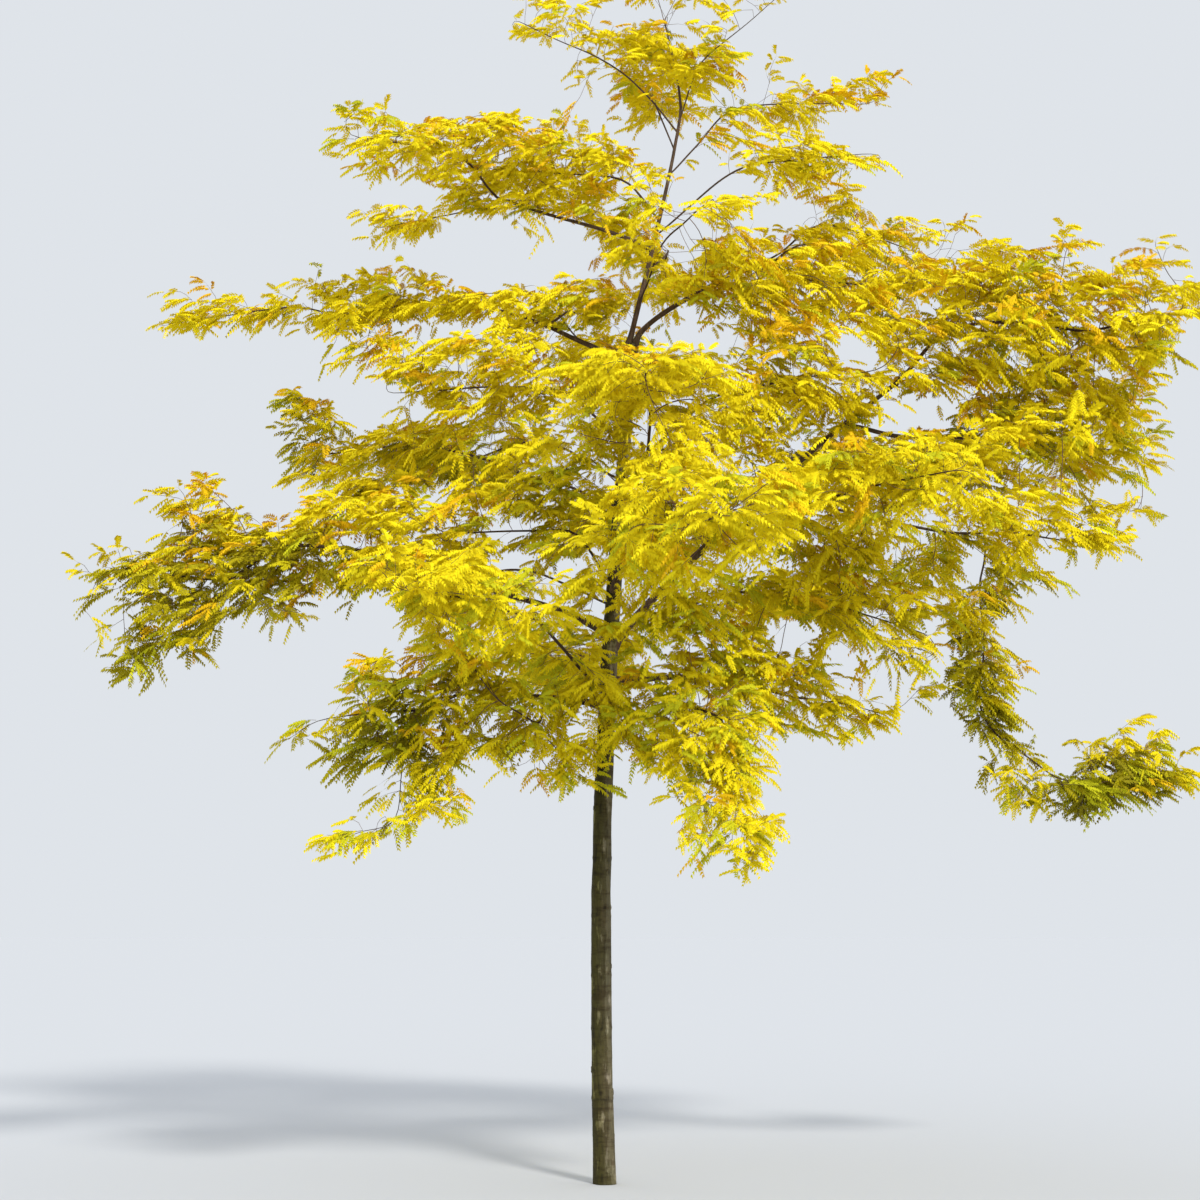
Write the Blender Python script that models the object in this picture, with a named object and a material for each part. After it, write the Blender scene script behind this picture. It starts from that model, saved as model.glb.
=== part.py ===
# Honey locust tree: a slender trunk, the main boughs and leaders, and the
# tiers of golden foliage that they carry.
#
# Metres, +Z up. The origin is the centre of the flat cut under the trunk, at
# ground level. +X is to the right and +Y away, as the tree is seen from the
# front. Bearings are in degrees, seen from above: 0 is +X, 90 is +Y, 180 is
# the left side and 270 the front.

from math import cos, exp, pi, radians, sin, sqrt

import bmesh
import bpy
import numpy as np
from mathutils import Euler, Matrix, Vector, noise

# ---------------------------------------------------------------- sizes (m)
TRUNK_HEIGHT = 5.44          # ground to the main fork
TRUNK_RADIUS_FOOT = 0.067    # just above the root flare
TRUNK_RADIUS_FORK = 0.034
TRUNK_TAPER = 1.8            # the trunk thins slowly at first, then faster
FLARE_EXTRA = 0.007          # extra radius of the root flare at the ground
FLARE_HEIGHT = 0.11          # height over which the flare dies away
FLARE_LOBES = 5              # buttresses in the flare
TRUNK_LEAN = 0.0052          # sideways drift, per metre of height squared
TRUNK_BOW = 0.040            # a slight bow to the left, at mid height
TRUNK_BOW_HEIGHT = 4.2
TRUNK_SIDES = 12
TRUNK_RINGS = 18

LIMB_SIDES = 8
LIMB_RINGS = 8               # stations along a bough
JOINT_GAP = 0.0035           # clearance between a bough's foot and its carrier
LEAF_GAP = 0.004             # clearance between foliage and its neighbours

MASS_SIDES = 11              # facets round a foliage mass
MASS_BANDS = 8               # bands from its inner end to its tip
LUMP = 0.24                  # size of the lumps, as a share of the radius
LUMP_FREQUENCY = 1.5
RAGGED = 0.10                # size of the smaller unevenness
RAGGED_FREQUENCY = 4.0
UNDERSIDE = 0.85             # the underside is flatter than the top

# ------------------------------------------------------------------- limbs
# Each bough leaves its carrier at a height, on a bearing, and is one tapering
# limb: (name, carrier, height it leaves at, bearing, reach along the bearing,
# rise, bend of the rise (below 1 it climbs early and levels off), radius at
# its foot, radius at its end, side sway).
LEADERS = (
    ("leader", "trunk", TRUNK_HEIGHT, 4.0, 0.36, 1.68, 1.60, 0.019, 0.010, 0.020),
    ("right_leader", "trunk", TRUNK_HEIGHT, 354.0, 0.88, 0.53, 0.62, 0.018, 0.010, 0.030),
)
BOUGHS = (
    ("upper_left_bough", "leader", 6.10, 186.0, 1.05, 0.32, 0.80, 0.015, 0.009, 0.030),
    ("mid_left_bough", "trunk", 5.24, 184.0, 0.55, 0.30, 0.70, 0.020, 0.014, 0.020),
    ("right_bough", "trunk", 3.36, 358.0, 1.88, 1.78, 0.86, 0.029, 0.014, 0.050),
    ("left_bough", "trunk", 3.42, 184.0, 1.10, 0.42, 0.60, 0.026, 0.014, 0.040),
    ("lower_left_bough", "trunk", 2.98, 178.0, 0.86, 0.12, 0.50, 0.024, 0.013, 0.030),
    ("lower_right_bough", "trunk", 3.16, 2.0, 0.85, 0.05, 0.60, 0.022, 0.012, 0.030),
    ("front_bough", "trunk", 3.72, 280.0, 0.88, 0.55, 0.75, 0.025, 0.014, 0.040),
    ("back_bough", "trunk", 4.16, 88.0, 1.15, 0.42, 0.75, 0.025, 0.013, 0.040),
    ("back_low_bough", "trunk", 3.06, 97.0, 0.80, 0.18, 0.75, 0.023, 0.013, 0.030),
)
FORK_STANCE = 0.021          # each leader's foot stands this far off the fork's centre

# ----------------------------------------------------------------- foliage
# Tiers of foliage, from the top of the tree down. Each mass: (name, bearing
# and distance of its middle from the tree's axis, height of its middle,
# bearing of its long axis, tilt of that axis up (+) or down (-) towards its
# tip, length, width, thickness).
FOLIAGE = (
    # the top, round the leader's end
    ("top_left", 205, 0.20, 7.50, 184, 31, 1.15, 0.52, 0.36),
    ("top_middle", 5, 0.42, 7.72, 90, 0, 0.80, 0.74, 0.92),
    ("top_right", 352, 0.93, 7.62, 352, 40, 0.95, 0.52, 0.40),
    ("top_back", 62, 0.85, 7.42, 85, 10, 0.80, 0.66, 0.42),
    # the upper tier
    ("upper_right_high", 15, 1.44, 7.30, 14, 10, 1.40, 0.55, 0.26),
    ("upper_right", 344, 1.44, 6.60, 346, 4, 1.36, 0.68, 0.42),
    ("upper_right_low", 13, 2.02, 6.31, 10, -12, 1.25, 0.55, 0.28),
    ("upper_left_tip", 205, 1.38, 6.58, 196, 5, 1.15, 0.90, 0.48),
    ("upper_left", 200, 0.30, 6.60, 183, 9, 1.30, 1.00, 0.62),
    ("upper_left_lobe", 161, 1.55, 6.46, 165, -6, 0.62, 0.42, 0.20),
    ("upper_front", 303, 1.04, 6.02, 290, 0, 1.15, 0.85, 0.46),
    ("upper_back", 66, 1.05, 6.28, 88, 2, 1.30, 1.05, 0.46),
    # the middle tier, about the fork
    ("middle_left_tip", 168, 2.60, 5.83, 167, -2, 1.18, 0.55, 0.32),
    ("middle_left", 168, 1.49, 5.79, 170, 0, 1.15, 0.88, 0.46),
    ("middle_left_inner", 196, 0.38, 5.72, 182, 0, 1.10, 0.80, 0.46),
    ("middle_right_inner", 338, 1.02, 5.72, 345, 0, 1.10, 0.90, 0.52),
    ("middle_right", 0, 1.85, 5.86, 0, 0, 1.25, 0.85, 0.54),
    ("middle_back", 84, 1.35, 5.65, 90, 2, 1.45, 1.35, 0.50),
    # the right side
    ("right_high", 353, 2.39, 5.44, 352, 10, 1.25, 0.95, 0.86),
    ("right_high_tip", 351, 3.28, 5.37, 352, 6, 1.36, 0.88, 0.92),
    ("right_middle", 2, 2.39, 4.78, 6, 0, 1.25, 1.00, 0.62),
    ("right_middle_tip", 9, 3.32, 4.82, 10, -3, 1.10, 0.85, 0.80),
    ("right_low", 343, 2.75, 3.96, 343, -6, 1.30, 0.85, 0.52),
    ("right_front", 319, 2.15, 4.16, 318, 0, 1.40, 1.05, 0.72),
    ("right_back", 36, 2.30, 4.90, 35, 0, 1.50, 1.10, 0.60),
    ("right_hanging", 11, 2.66, 3.38, 10, 0, 0.54, 0.50, 1.34),
    ("right_hanging_tip", 11, 3.46, 2.61, 12, 6, 1.52, 0.72, 0.46),
    # the heart of the crown and the left side
    ("centre_front", 280, 1.37, 4.66, 272, 5, 1.50, 1.15, 0.80),
    ("centre_left", 204, 0.86, 5.03, 186, 0, 1.50, 1.00, 0.84),
    ("left_outer", 155, 1.82, 4.89, 158, 4, 1.26, 0.80, 0.68),
    ("centre_right", 337, 1.30, 5.02, 345, 8, 1.25, 1.05, 0.68),
    ("centre_right_low", 342, 1.58, 3.57, 345, -14, 1.32, 0.95, 0.64),
    ("left_low_tip", 193, 2.60, 3.74, 193, -8, 1.36, 0.88, 1.14),
    ("left_low", 192, 1.66, 3.97, 192, 0, 1.30, 1.05, 0.74),
    ("left_low_inner", 202, 0.67, 4.12, 185, 0, 1.20, 0.95, 0.66),
    # the front and the back
    ("front_low", 286, 1.87, 3.82, 285, 0, 1.70, 1.15, 0.78),
    ("front_low_left", 243, 1.68, 3.46, 238, 0, 1.50, 1.05, 0.66),
    ("back_low", 95, 1.60, 3.45, 95, 0, 1.80, 1.20, 0.60),
    ("back_low_right", 43, 1.85, 3.84, 43, 0, 1.55, 1.10, 0.56),
    ("back_low_left", 126, 1.92, 4.10, 130, 0, 1.60, 1.10, 0.60),
    ("back_middle", 81, 2.02, 4.58, 82, 0, 1.90, 1.20, 0.60),
    ("back_middle_left", 122, 1.69, 5.00, 125, 0, 1.50, 1.05, 0.55),
    # the lowest tier, down to the drooping ends
    ("lower_left", 199, 1.32, 2.90, 192, -2, 1.34, 0.85, 0.76),
    ("lower_left_inner", 222, 0.58, 2.84, 195, 0, 0.95, 0.85, 0.80),
    ("lower_left_droop", 211, 1.46, 2.25, 190, -26, 1.10, 0.42, 0.24),
    ("lower_right", 312, 0.78, 2.90, 300, 0, 1.05, 0.95, 0.92),
    ("lower_right_droop", 304, 1.27, 2.24, 300, -30, 0.85, 0.62, 0.50),
    ("lower_right_arm", 354, 1.20, 3.05, 355, -7, 1.06, 0.72, 0.58),
)

# --------------------------------------------------------------- materials
BARK = (0.155, 0.110, 0.075)
BOUGH_BARK = (0.120, 0.075, 0.050)
GOLD = (0.830, 0.600, 0.030)


def principled(name, colour, roughness, metallic=0.0):
    material = bpy.data.materials.new(name)
    material.use_nodes = True
    shader = material.node_tree.nodes["Principled BSDF"]
    shader.inputs["Base Color"].default_value = (*colour, 1.0)
    shader.inputs["Roughness"].default_value = roughness
    shader.inputs["Metallic"].default_value = metallic
    material.diffuse_color = (*colour, 1.0)
    return material


def heading(bearing):
    a = radians(bearing)
    return Vector((cos(a), sin(a), 0.0))


# ------------------------------------------------------------ centre lines
def trunk_centre(z):
    """The trunk's centre line: a slight bow to the left, then a lean right."""
    return Vector((TRUNK_LEAN * z * z - TRUNK_BOW * sin(pi * z / TRUNK_BOW_HEIGHT), 0.0, z))


def trunk_radius(z):
    share = max(z / TRUNK_HEIGHT, 0.0) ** TRUNK_TAPER
    return TRUNK_RADIUS_FOOT + (TRUNK_RADIUS_FORK - TRUNK_RADIUS_FOOT) * share


def bough_line(spec, start, steps):
    """Points and radii along a bough from `start`."""
    _, _, _, bearing, reach, rise, bend, foot, end, sway = spec
    out = heading(bearing)
    side = Vector((-out.y, out.x, 0.0))
    points, radii = [], []
    for i in range(steps):
        t = i / (steps - 1)
        climb = rise * (t**bend if bend < 1 else (1 - (1 - t) ** (1 / bend)) * 0.35 + t * 0.65)
        points.append(start + out * (reach * t) + Vector((0, 0, climb))
                      + side * (sway * sin(2.4 * pi * t) * t))
        radii.append(foot + (end - foot) * t)
    return points, radii


# ------------------------------------------------------------ mesh helpers
def add_object(name, mesh, material, parent, location, rotation):
    mesh.materials.append(material)
    mesh.shade_smooth()
    mesh.set_sharp_from_angle(angle=radians(50))
    obj = bpy.data.objects.new(name, mesh)
    bpy.context.collection.objects.link(obj)
    obj.location = location
    obj.rotation_euler = rotation
    obj.parent = parent
    return obj


def tube_mesh(name, rings, to_local, first_middle=None):
    """A closed tube through rings of points, with a fan over each end."""
    bm = bmesh.new()
    rows = [[bm.verts.new(to_local @ p) for p in ring] for ring in rings]
    count = len(rows[0])
    for a, b in zip(rows, rows[1:]):
        for k in range(count):
            k2 = (k + 1) % count
            bm.faces.new((a[k], a[k2], b[k2], b[k]))
    for row, ring, flip in ((rows[0], rings[0], True), (rows[-1], rings[-1], False)):
        centre = sum(ring, Vector()) / count
        if flip and first_middle is not None:
            centre = first_middle
        middle = bm.verts.new(to_local @ centre)
        for k in range(count):
            k2 = (k + 1) % count
            bm.faces.new((row[k2], row[k], middle) if flip else (row[k], row[k2], middle))
    bmesh.ops.triangulate(bm, faces=bm.faces[:])
    bmesh.ops.recalc_face_normals(bm, faces=bm.faces[:])
    mesh = bpy.data.meshes.new(name)
    bm.to_mesh(mesh)
    bm.free()
    return mesh


def frames_along(points):
    """A pair of cross axes at each point, carried along without twist."""
    tangents = []
    for i in range(len(points)):
        a = points[max(i - 1, 0)]
        b = points[min(i + 1, len(points) - 1)]
        tangents.append((b - a).normalized())
    first = tangents[0].orthogonal().normalized()
    pairs, u = [], first
    for t in tangents:
        u = (u - t * u.dot(t)).normalized()
        pairs.append((u.copy(), t.cross(u)))
    return tangents, pairs


# ------------------------------------------------------------------- trunk
def make_trunk(material, parent):
    rings = []
    for i in range(TRUNK_RINGS):
        t = i / (TRUNK_RINGS - 1)
        z = TRUNK_HEIGHT * (t**1.7)           # rings are closer over the flare
        centre, ring = trunk_centre(z), []
        for k in range(TRUNK_SIDES):
            a = 2 * pi * k / TRUNK_SIDES
            flare = FLARE_EXTRA * exp(-z / FLARE_HEIGHT)
            flare *= 1 + 0.35 * sin(FLARE_LOBES * a + 0.6)
            uneven = 1 + 0.035 * noise.noise(Vector((cos(a), sin(a), 1.7 * z)) * 1.3)
            r = trunk_radius(z) * uneven + flare
            ring.append(Vector((centre.x + r * cos(a), centre.y + r * sin(a), z)))
        rings.append(ring)
    mesh = tube_mesh("trunk", rings, Matrix.Identity(4))
    return add_object("trunk", mesh, material, parent, (0, 0, 0), (0, 0, 0))


# ------------------------------------------------------------------ boughs
def carrier_surface(p, toward, carrier, limbs):
    """Distance to move from p along `toward` to be clear of the carrier."""
    if carrier == "trunk":
        centre, radius = trunk_centre(p.z), trunk_radius(p.z) * 1.07
    else:
        points, radii = limbs[carrier]
        i = min(range(len(points) - 1), key=lambda j: abs((points[j].z + points[j + 1].z) / 2 - p.z))
        a, b = points[i], points[i + 1]
        t = (p.z - a.z) / (b.z - a.z)
        centre, radius = a + (b - a) * t, max(radii[i], radii[i + 1]) * 1.07
    radius += JOINT_GAP
    flat = Vector((p.x - centre.x, p.y - centre.y, 0.0))
    d = Vector((toward.x, toward.y, 0.0)).normalized()
    b = flat.dot(d)
    inside = b * b - (flat.length_squared - radius * radius)
    return -b + sqrt(max(inside, 0.0))


def make_limb(spec, limbs, material, parent):
    name, carrier, height, bearing, reach, rise, bend, foot, end, sway = spec
    out = heading(bearing)
    if height == TRUNK_HEIGHT:                 # a leader stands on the fork
        start = trunk_centre(TRUNK_HEIGHT) + Vector((0, 0, 0.0008))
        start += out * (-FORK_STANCE if name == "leader" else FORK_STANCE)
    elif carrier == "trunk":
        start = trunk_centre(height)
    else:
        points, radii = limbs[carrier]
        i = next(j for j in range(len(points) - 1) if points[j + 1].z > height)
        t = (height - points[i].z) / (points[i + 1].z - points[i].z)
        start = points[i] + (points[i + 1] - points[i]) * t
    points, radii = bough_line(spec, start, LIMB_RINGS)
    tangents, pairs = frames_along(points)
    rings = []
    for i, (c, r, (u, v)) in enumerate(zip(points, radii, pairs)):
        ring = []
        for k in range(LIMB_SIDES):
            a = 2 * pi * k / LIMB_SIDES
            ring.append(c + (u * cos(a) + v * sin(a)) * r)
        rings.append(ring)
    if height == TRUNK_HEIGHT:                 # flat on the trunk's end
        rings[0] = [Vector((start.x + radii[0] * cos(2 * pi * k / LIMB_SIDES),
                            start.y + radii[0] * sin(2 * pi * k / LIMB_SIDES), start.z))
                    for k in range(LIMB_SIDES)]
        t = tangents[0]
        u = (Vector((1, 0, 0)) - t * t.x).normalized()
        v = t.cross(u)
        carried = frames_along(points[1:])[1]
        rings[1:] = []
        for c, r, tangent in zip(points[1:], radii[1:], tangents[1:]):
            u = (u - tangent * u.dot(tangent)).normalized()
            v = tangent.cross(u)
            rings.append([c + (u * cos(2 * pi * k / LIMB_SIDES) + v * sin(2 * pi * k / LIMB_SIDES)) * r
                          for k in range(LIMB_SIDES)])
        middle = None
    else:                                      # saddled on its carrier's side
        t = tangents[0]
        level = sqrt(max(t.x**2 + t.y**2, 0.05))
        rings[0] = [p + t * (carrier_surface(p, t, carrier, limbs) / level) for p in rings[0]]
        middle = start + t * (carrier_surface(start, t, carrier, limbs) / level)
    matrix = Matrix.LocRotScale(start, Euler((0, 0, radians(bearing))), None)
    mesh = tube_mesh(name, rings, matrix.inverted(), middle)
    add_object(name, mesh, material, parent, start, (0, 0, radians(bearing)))
    limbs[name] = (points, radii)


# ----------------------------------------------------------------- foliage
def directions(count):
    """Evenly spread unit vectors."""
    i = np.arange(count) + 0.5
    z = 1 - 2 * i / count
    a = pi * (1 + sqrt(5)) * i
    r = np.sqrt(1 - z * z)
    return np.stack([r * np.cos(a), r * np.sin(a), z], 1)


TRY_NORMALS = directions(900)


def mass_frame(spec):
    name, bearing, distance, height, axis_bearing, tilt, length, width, thickness = spec
    centre = heading(bearing) * distance
    centre.z = height
    rotation = Euler((0, -radians(tilt), radians(axis_bearing)))
    axes = np.array(rotation.to_matrix())      # columns: long, across, up
    half = np.array((length, width, thickness)) / 2
    return np.array(centre), rotation, axes, half


def support(axes, half):
    """How far the mass reaches along each trial direction."""
    return np.sqrt((((TRY_NORMALS @ axes) * half) ** 2).sum(1))


def neighbour_plane(a, b):
    """The plane that parts two masses and cuts least from either: a unit
    normal from a to b and its offset, or None where they stay apart."""
    apart = TRY_NORMALS @ (b["centre"] - a["centre"])
    ratio = apart / (a["support"] + b["support"])
    i = int(ratio.argmax())
    if ratio[i] > 1 + LUMP + RAGGED:
        return None
    n = TRY_NORMALS[i]
    reach = a["support"][i] / (a["support"][i] + b["support"][i])
    return n, float(n @ a["centre"] + apart[i] * reach)


def limb_planes(mass, points, radii):
    """Planes that keep a mass clear of each length of a limb."""
    planes = []
    for p, q, r in zip(points, points[1:], radii):
        ends = np.stack([np.array(p), np.array(q)])
        away = TRY_NORMALS @ mass["centre"] - (ends @ TRY_NORMALS.T).max(0) - r * 1.06
        ratio = away / mass["support"]
        i = int(ratio.argmax())
        if ratio[i] < 1 + LUMP + RAGGED:
            n = -TRY_NORMALS[i]
            planes.append((n, float(n @ mass["centre"] + away[i])))
    return planes


def mass_points(mass, seed):
    """A lumpy body on its own long, cross and upright axes: rows of points
    round the long axis, from its inner end to its tip."""
    shift = Vector((seed * 3.17, seed * 1.73, seed * 2.39))
    rows = []
    for i in range(MASS_BANDS + 1):
        polar = pi * i / MASS_BANDS
        row = []
        for k in range(MASS_SIDES if 0 < i < MASS_BANDS else 1):
            a = 2 * pi * (k + 0.5 * (i % 2)) / MASS_SIDES
            d = Vector((-cos(polar), sin(polar) * cos(a), sin(polar) * sin(a)))
            swell = (1 + LUMP * noise.noise(d * LUMP_FREQUENCY + shift) * 1.6
                     + RAGGED * noise.noise(d * RAGGED_FREQUENCY + shift) * 1.6)
            p = np.array(d) * mass["half"] * swell
            if p[2] < 0:
                p[2] *= UNDERSIDE
            row.append(mass["axes"] @ p)
        rows.append(row)
    return rows


def clip(offset, centre, planes):
    """Draw a point in towards the mass's centre until every plane clears it."""
    keep = 1.0
    for n, limit in planes:
        room = limit - LEAF_GAP / 2 - n @ centre
        out = n @ offset
        if out * keep > room:
            keep = room / out
    return offset * keep


def make_foliage(limbs, material, parent):
    masses = []
    for spec in FOLIAGE:
        centre, rotation, axes, half = mass_frame(spec)
        masses.append({"name": spec[0], "centre": centre, "rotation": rotation, "axes": axes,
                       "half": half, "support": support(axes, half), "planes": []})
    for i, a in enumerate(masses):
        for b in masses[i + 1:]:
            plane = neighbour_plane(a, b)
            if plane:
                n, limit = plane
                a["planes"].append((n, limit))
                b["planes"].append((-n, -limit))
        for points, radii in limbs.values():
            a["planes"] += limb_planes(a, points, radii)
    for seed, mass in enumerate(masses):
        rows = [[clip(p, mass["centre"], mass["planes"]) for p in row]
                for row in mass_points(mass, seed + 1)]
        to_local = np.array(mass["rotation"].to_matrix()).T
        bm = bmesh.new()
        verts = [[bm.verts.new(Vector(to_local @ p)) for p in row] for row in rows]
        for low, high in zip(verts, verts[1:]):
            if len(low) == 1 or len(high) == 1:
                pole, ring = (low[0], high) if len(low) == 1 else (high[0], low)
                for k in range(MASS_SIDES):
                    k2 = (k + 1) % MASS_SIDES
                    bm.faces.new((pole, ring[k2], ring[k]) if pole is low[0]
                                 else (pole, ring[k], ring[k2]))
                continue
            odd = verts.index(low) % 2
            for k in range(MASS_SIDES):
                k2 = (k + 1) % MASS_SIDES
                if odd:
                    bm.faces.new((low[k], high[k2], low[k2]))
                    bm.faces.new((low[k], high[k], high[k2]))
                else:
                    bm.faces.new((low[k], high[k], low[k2]))
                    bm.faces.new((high[k], high[k2], low[k2]))
        bmesh.ops.recalc_face_normals(bm, faces=bm.faces[:])
        mesh = bpy.data.meshes.new(mass["name"])
        bm.to_mesh(mesh)
        bm.free()
        add_object(mass["name"], mesh, material, parent, Vector(mass["centre"]), mass["rotation"])


def main():
    for obj in list(bpy.data.objects):
        bpy.data.objects.remove(obj, do_unlink=True)
    tree = bpy.data.objects.new("tree", None)
    bpy.context.collection.objects.link(tree)
    make_trunk(principled("bark", BARK, 0.9), tree)
    heights = [TRUNK_HEIGHT * i / 12 for i in range(13)]
    limbs = {}
    for spec in LEADERS + BOUGHS:
        make_limb(spec, limbs, principled(spec[0], BOUGH_BARK, 0.85), tree)
    around = {"trunk": ([trunk_centre(z) for z in heights],
                        [trunk_radius(z) for z in heights]), **limbs}
    make_foliage(around, principled("foliage", GOLD, 0.6), tree)


main()
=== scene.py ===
# The looks of the honey locust tree: bark with its relief on the trunk and
# boughs, and limbs, twigs and pinnate leaves that grow on from them by a seeded
# branching rule inside the CAD foliage masses.
#
# Metres, +Z up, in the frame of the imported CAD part.

from math import cos, exp, pi, radians, sin

import bpy
import numpy as np
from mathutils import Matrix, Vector
from mathutils.bvhtree import BVHTree


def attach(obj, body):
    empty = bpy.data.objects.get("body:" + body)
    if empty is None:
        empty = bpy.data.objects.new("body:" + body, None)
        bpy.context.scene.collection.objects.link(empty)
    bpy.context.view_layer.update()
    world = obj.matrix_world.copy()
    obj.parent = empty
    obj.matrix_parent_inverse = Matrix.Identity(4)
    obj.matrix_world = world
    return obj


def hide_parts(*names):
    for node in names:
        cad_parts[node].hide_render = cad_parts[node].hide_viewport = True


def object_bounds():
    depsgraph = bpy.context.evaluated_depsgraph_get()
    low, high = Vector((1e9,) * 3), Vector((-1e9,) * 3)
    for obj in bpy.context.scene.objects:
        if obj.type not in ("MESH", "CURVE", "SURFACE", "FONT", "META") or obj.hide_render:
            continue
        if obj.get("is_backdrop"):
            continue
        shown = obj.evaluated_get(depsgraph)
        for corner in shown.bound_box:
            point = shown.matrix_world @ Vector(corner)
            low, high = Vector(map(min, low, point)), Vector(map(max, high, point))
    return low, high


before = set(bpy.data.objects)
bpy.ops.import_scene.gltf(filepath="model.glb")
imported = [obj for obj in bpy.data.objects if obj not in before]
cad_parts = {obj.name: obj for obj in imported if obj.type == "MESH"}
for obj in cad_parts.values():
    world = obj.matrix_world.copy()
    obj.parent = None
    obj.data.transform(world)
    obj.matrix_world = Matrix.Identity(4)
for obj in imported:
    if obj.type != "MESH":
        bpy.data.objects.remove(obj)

cad_low, cad_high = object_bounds()
rng = np.random.default_rng(41)
UP = np.array((0.0, 0.0, 1.0))

# ---------------------------------------------------------------- sizes (m)
# The trunk and boughs, as in the CAD part.
TRUNK_HEIGHT = 5.44
TRUNK_RADIUS_FOOT = 0.067
TRUNK_RADIUS_FORK = 0.034
TRUNK_TAPER = 1.8
FLARE_EXTRA = 0.007
FLARE_HEIGHT = 0.11
FLARE_LOBES = 5
TRUNK_LEAN = 0.0052
TRUNK_BOW = 0.040
TRUNK_BOW_HEIGHT = 4.2
FORK_STANCE = 0.021

# (name, carrier, height, bearing, reach, rise, bend, foot radius, end radius, sway)
LEADERS = (
    ("leader", "trunk", TRUNK_HEIGHT, 4.0, 0.36, 1.68, 1.60, 0.019, 0.010, 0.020),
    ("right_leader", "trunk", TRUNK_HEIGHT, 354.0, 0.88, 0.53, 0.62, 0.018, 0.010, 0.030),
)
BOUGHS = (
    ("upper_left_bough", "leader", 6.10, 186.0, 1.05, 0.32, 0.80, 0.015, 0.009, 0.030),
    ("mid_left_bough", "trunk", 5.24, 184.0, 0.55, 0.30, 0.70, 0.020, 0.014, 0.020),
    ("right_bough", "trunk", 3.36, 358.0, 1.88, 1.78, 0.86, 0.029, 0.014, 0.050),
    ("left_bough", "trunk", 3.42, 184.0, 1.10, 0.42, 0.60, 0.026, 0.014, 0.040),
    ("lower_left_bough", "trunk", 2.98, 178.0, 0.86, 0.12, 0.50, 0.024, 0.013, 0.030),
    ("lower_right_bough", "trunk", 3.16, 2.0, 0.85, 0.05, 0.60, 0.022, 0.012, 0.030),
    ("front_bough", "trunk", 3.72, 280.0, 0.88, 0.55, 0.75, 0.025, 0.014, 0.040),
    ("back_bough", "trunk", 4.16, 88.0, 1.15, 0.42, 0.75, 0.025, 0.013, 0.040),
    ("back_low_bough", "trunk", 3.06, 97.0, 0.80, 0.18, 0.75, 0.023, 0.013, 0.030),
)

# The branching.
STEP = 0.055                 # length of one step of growth
REACHED = 0.070              # a place this near a twig needs no more growth
SIGHT = 0.95                 # how far a growing tip feels open space
PLACES = 430                 # places to fill, for a foliage mass of a cubic metre
INSET = 0.02                 # twigs stop this far inside a mass, and leaves go on
BETWEEN = 1500               # places to fill in the gaps between masses
TIP_RADIUS = 0.0014
PIPE_POWER = 2.35            # how limb thickness adds up towards the trunk

# The leaves.
LEAVES = 75000
PAIRS = 7                    # pairs of leaflets on a leaf
LEAF_LENGTH = 0.126
LEAFLET_LENGTH = 0.0345
LEAFLET_WIDTH = 0.0190

# The eye, for the gaps that show from the front.
EYE = np.array((-0.03, -13.0, 1.6))
PITCH = 9.18
LENS = 60.3
SUN = np.array((0.38, -0.74, 0.57))
SUN = SUN / np.linalg.norm(SUN)


# --------------------------------------------------------- numpy helpers
def unit(v):
    v = np.asarray(v, float)
    return v / np.maximum(np.linalg.norm(v, axis=-1, keepdims=True), 1e-9)


def heading(bearing):
    a = radians(bearing)
    return np.array((cos(a), sin(a), 0.0))


def lattice(p, seed):
    """Smooth random values from -1 to 1 at points p (n, 3)."""
    cell = np.floor(p).astype(np.int64)
    f = p - cell
    f = f * f * (3 - 2 * f)
    total = np.zeros(len(p))
    for corner in range(8):
        off = np.array((corner & 1, corner >> 1 & 1, corner >> 2 & 1))
        c = (cell + off) & 0xFFFF
        h = (c[:, 0] * 73856093) ^ (c[:, 1] * 19349663) ^ (c[:, 2] * 83492791) ^ (seed * 2654435)
        h = (h ^ (h >> 13)) * 1274126177 & 0x7FFFFFFF
        h = (h ^ (h >> 16)) & 0xFFFF
        total += np.prod(np.where(off == 1, f, 1 - f), axis=1) * (h / 0xFFFF)
    return total * 2 - 1


def frames_along(points):
    """Tangents and a pair of cross axes at each point, without twist."""
    points = np.asarray(points, float)
    n = len(points)
    tangents = unit(points[np.minimum(np.arange(n) + 1, n - 1)] - points[np.maximum(np.arange(n) - 1, 0)])
    u = np.cross(tangents[0], (0, 0, 1) if abs(tangents[0][2]) < 0.9 else (1, 0, 0))
    us = np.empty_like(points)
    for i, t in enumerate(tangents):
        u = u - t * (u @ t)
        u = u / np.linalg.norm(u)
        us[i] = u
    return tangents, us, np.cross(tangents, us)


def tube_faces(rings, sides, start):
    """Triangles of a tube of rings x sides vertices, with a point at its end."""
    i = np.arange(rings - 1)[:, None] * sides
    k = np.arange(sides)[None, :]
    k2 = (k + 1) % sides
    a, b, c, d = i + k, i + k2, i + sides + k2, i + sides + k
    return np.concatenate([np.stack([a, b, c], -1).reshape(-1, 3),
                           np.stack([a, c, d], -1).reshape(-1, 3)]) + start


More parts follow.
